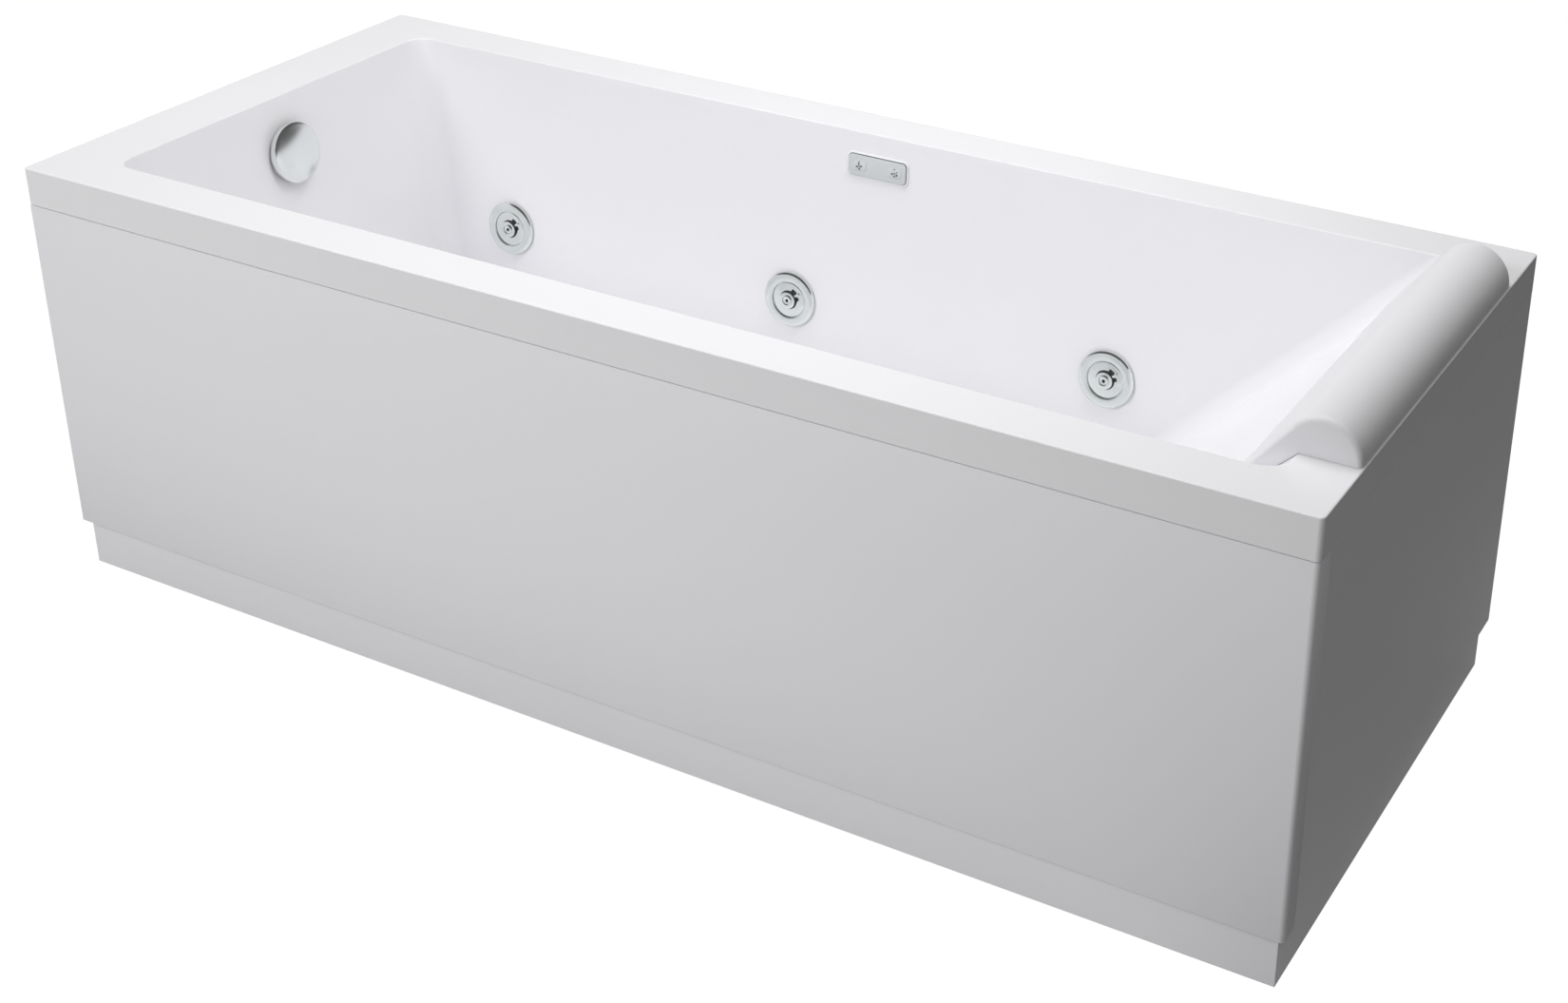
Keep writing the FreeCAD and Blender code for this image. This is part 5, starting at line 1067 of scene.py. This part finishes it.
for layer in (surround, seam_and_painted_shade):
    carve(layer, [copy_to(w, "key_window_copy", Matrix.Identity(4)) for w in windows])
carve(face, windows)
keypad = fuse("touch_keypad", [surround, seam_and_painted_shade, face, housing])
smooth(keypad, 35)
keypad.data.transform(KEYPAD_PLACE)
complete(keypad, "keypad", "tub", ["keypad_plate"])

# %% Keys and their pictures
KEY_TOP = 0.0038
INK_SUNK = 0.00002
INK_HEIGHT = 0.00018
INK_CROWN = 0.00004
INK_SHOULDER = 0.12
BLADES = 4
BLADE_REACH = 0.0031
BLADE_R = 0.0012
HUB_R = 0.0008
PROPELLER_Y = -0.0011
LIGHT_Y = 0.0050
LIGHT_R = 0.0011
BUBBLES_Y = -0.0010
# Each bubble in millimetres: its place on the key, across and up, and its radius.
BUBBLES = [(-3.3, -0.4, 1.5), (0.2, -3.1, 1.3), (3.5, -1.3, 1.5), (0.3, 0.7, 1.2), (3.7, 2.5, 0.9)]


def ink_dot(name, x, y, radius, stretch=1.0, turned_by=0.0):
    """A flat round spot of raised ink, drawn out along one side if stretch is above 1."""
    clear()
    bpy.ops.mesh.primitive_circle_add(vertices=24, radius=radius, fill_type="NGON")
    dot = named(name)
    edit(dot)
    bpy.ops.mesh.select_all(action="SELECT")
    pull(z=INK_HEIGHT)
    bpy.ops.mesh.inset(thickness=radius * INK_SHOULDER)
    move(z=INK_CROWN)
    bpy.ops.mesh.select_all(action="SELECT")
    bpy.ops.mesh.normals_make_consistent(inside=False)
    bpy.ops.object.mode_set(mode="OBJECT")
    place = Matrix.Translation(Vector((x, y, 0))) @ Matrix.Rotation(turned_by, 4, "Z")
    dot.data.transform(place @ Matrix.Diagonal((stretch, 1, 1, 1)))
    dot.data.materials.append(FINISH["icon"])
    return dot


propeller = []
for index in range(BLADES):
    angle = math.radians(10 + 90 * index)
    x = BLADE_REACH * math.cos(angle)
    y = PROPELLER_Y + BLADE_REACH * math.sin(angle)
    propeller.append(ink_dot("blade", x, y, BLADE_R, stretch=1.5, turned_by=angle))
propeller.append(ink_dot("hub", 0, PROPELLER_Y, HUB_R))
propeller.append(ink_dot("pump_light", 0, LIGHT_Y, LIGHT_R))
bubbles = [ink_dot("bubble", x / 1000, y / 1000 + BUBBLES_Y, r / 1000) for x, y, r in BUBBLES]
bubbles.append(ink_dot("air_light", 0, LIGHT_Y, LIGHT_R))
for node, body, x, picture in (("key_left", "left_key", -KEY_X, propeller),
                               ("key_right", "right_key", KEY_X, bubbles)):
    cap = slotted_block(node + "_cap", KEY_W, KEY_H, radius=KEY_R, low=-0.0005, high=KEY_TOP)
    soften(cap, 0.0005, steps=3, degrees=50)
    cap.data.materials.append(FINISH["key"])
    for spot in picture:
        spot.data.transform(Matrix.Translation(Vector((0, 0, KEY_TOP - INK_SUNK))))
    key = fuse(node + "_button", [cap] + picture)
    smooth(key, 35)
    key.data.transform(KEYPAD_PLACE @ Matrix.Translation(Vector((x, 0, 0))))
    complete(key, "key", body, [node])

# %% [markdown]
# ## Waste and suction
#
# The waste has a dished flange and a plug that the overflow knob lifts. The pump draws its water through a
# domed cover with slots, so that hair and fingers can't block it.

# %% Waste flange and plug
FLANGE_OUTLINE = [(24.5, -40), (27, -40), (27, 0), (34.2, 0), (34.8, 0.4), (35.0, 1.2), (34.4, 2.0),
                  (33.0, 2.45), (30.5, 2.5), (27.0, 1.9), (25.0, 0.6), (24.5, -1.0), (24.5, -40)]
PLUG_OUTLINE = [(0, -46), (4, -46), (4, -1.5), (21, -1.5), (23.2, 0.6), (23.5, 2.0), (23.5, 2.8), (30.6, 2.8),
                (31.0, 3.3), (30.9, 4.0), (30.0, 4.9), (28.0, 5.7), (24.0, 6.3), (16.0, 6.7), (0, 6.8)]
flange = turned("waste_seat", FLANGE_OUTLINE, steps=96)
smooth(flange, 40)
flange.data.transform(WASTE_PLACE)
complete(flange, "chrome", "tub", ["waste_flange"])
plug = turned("pop_up_plug", PLUG_OUTLINE, steps=96)
smooth(plug, 40)
plug.data.transform(WASTE_PLACE)
complete(plug, "chrome", "plug", ["waste_plug"])

# %% Suction cover
COVER_OUTLINE = [(30, 0.3), (51.6, 0.3), (52.0, 1.0), (52.0, 3.4), (51.2, 5.6), (49.6, 7.4), (47.0, 9.3),
                 (44.0, 10.8), (40.0, 11.8), (35.0, 12.0), (0, 12.0), (0, 9.0), (26.0, 9.0), (30.0, 5.0),
                 (30, 0.3)]
SLOT_PITCH = 0.009
SLOT_WIDTH = 0.004
SLOT_MARGIN = 0.001
OPEN_R = 0.026
cover = turned("suction_cover", COVER_OUTLINE, steps=96)
slots = []
for index in (-2, -1, 0, 1, 2):
    y = index * SLOT_PITCH
    half = math.sqrt(OPEN_R ** 2 - y * y) - SLOT_MARGIN
    slots.append(slotted_block("slot", 2 * half, SLOT_WIDTH, radius=0.0018, low=0.0, high=0.02, steps=4))
    slots[-1].data.transform(Matrix.Translation(Vector((0, y, 0))))
carve(cover, slots)
smooth(cover, 40)
cover.data.transform(SUCTION_PLACE)
complete(cover, "jet_chrome", "tub", ["suction_grille"])

# %% [markdown]
# ## The end
# The script ends with nothing selected.

# %% Clear the selection
clear()
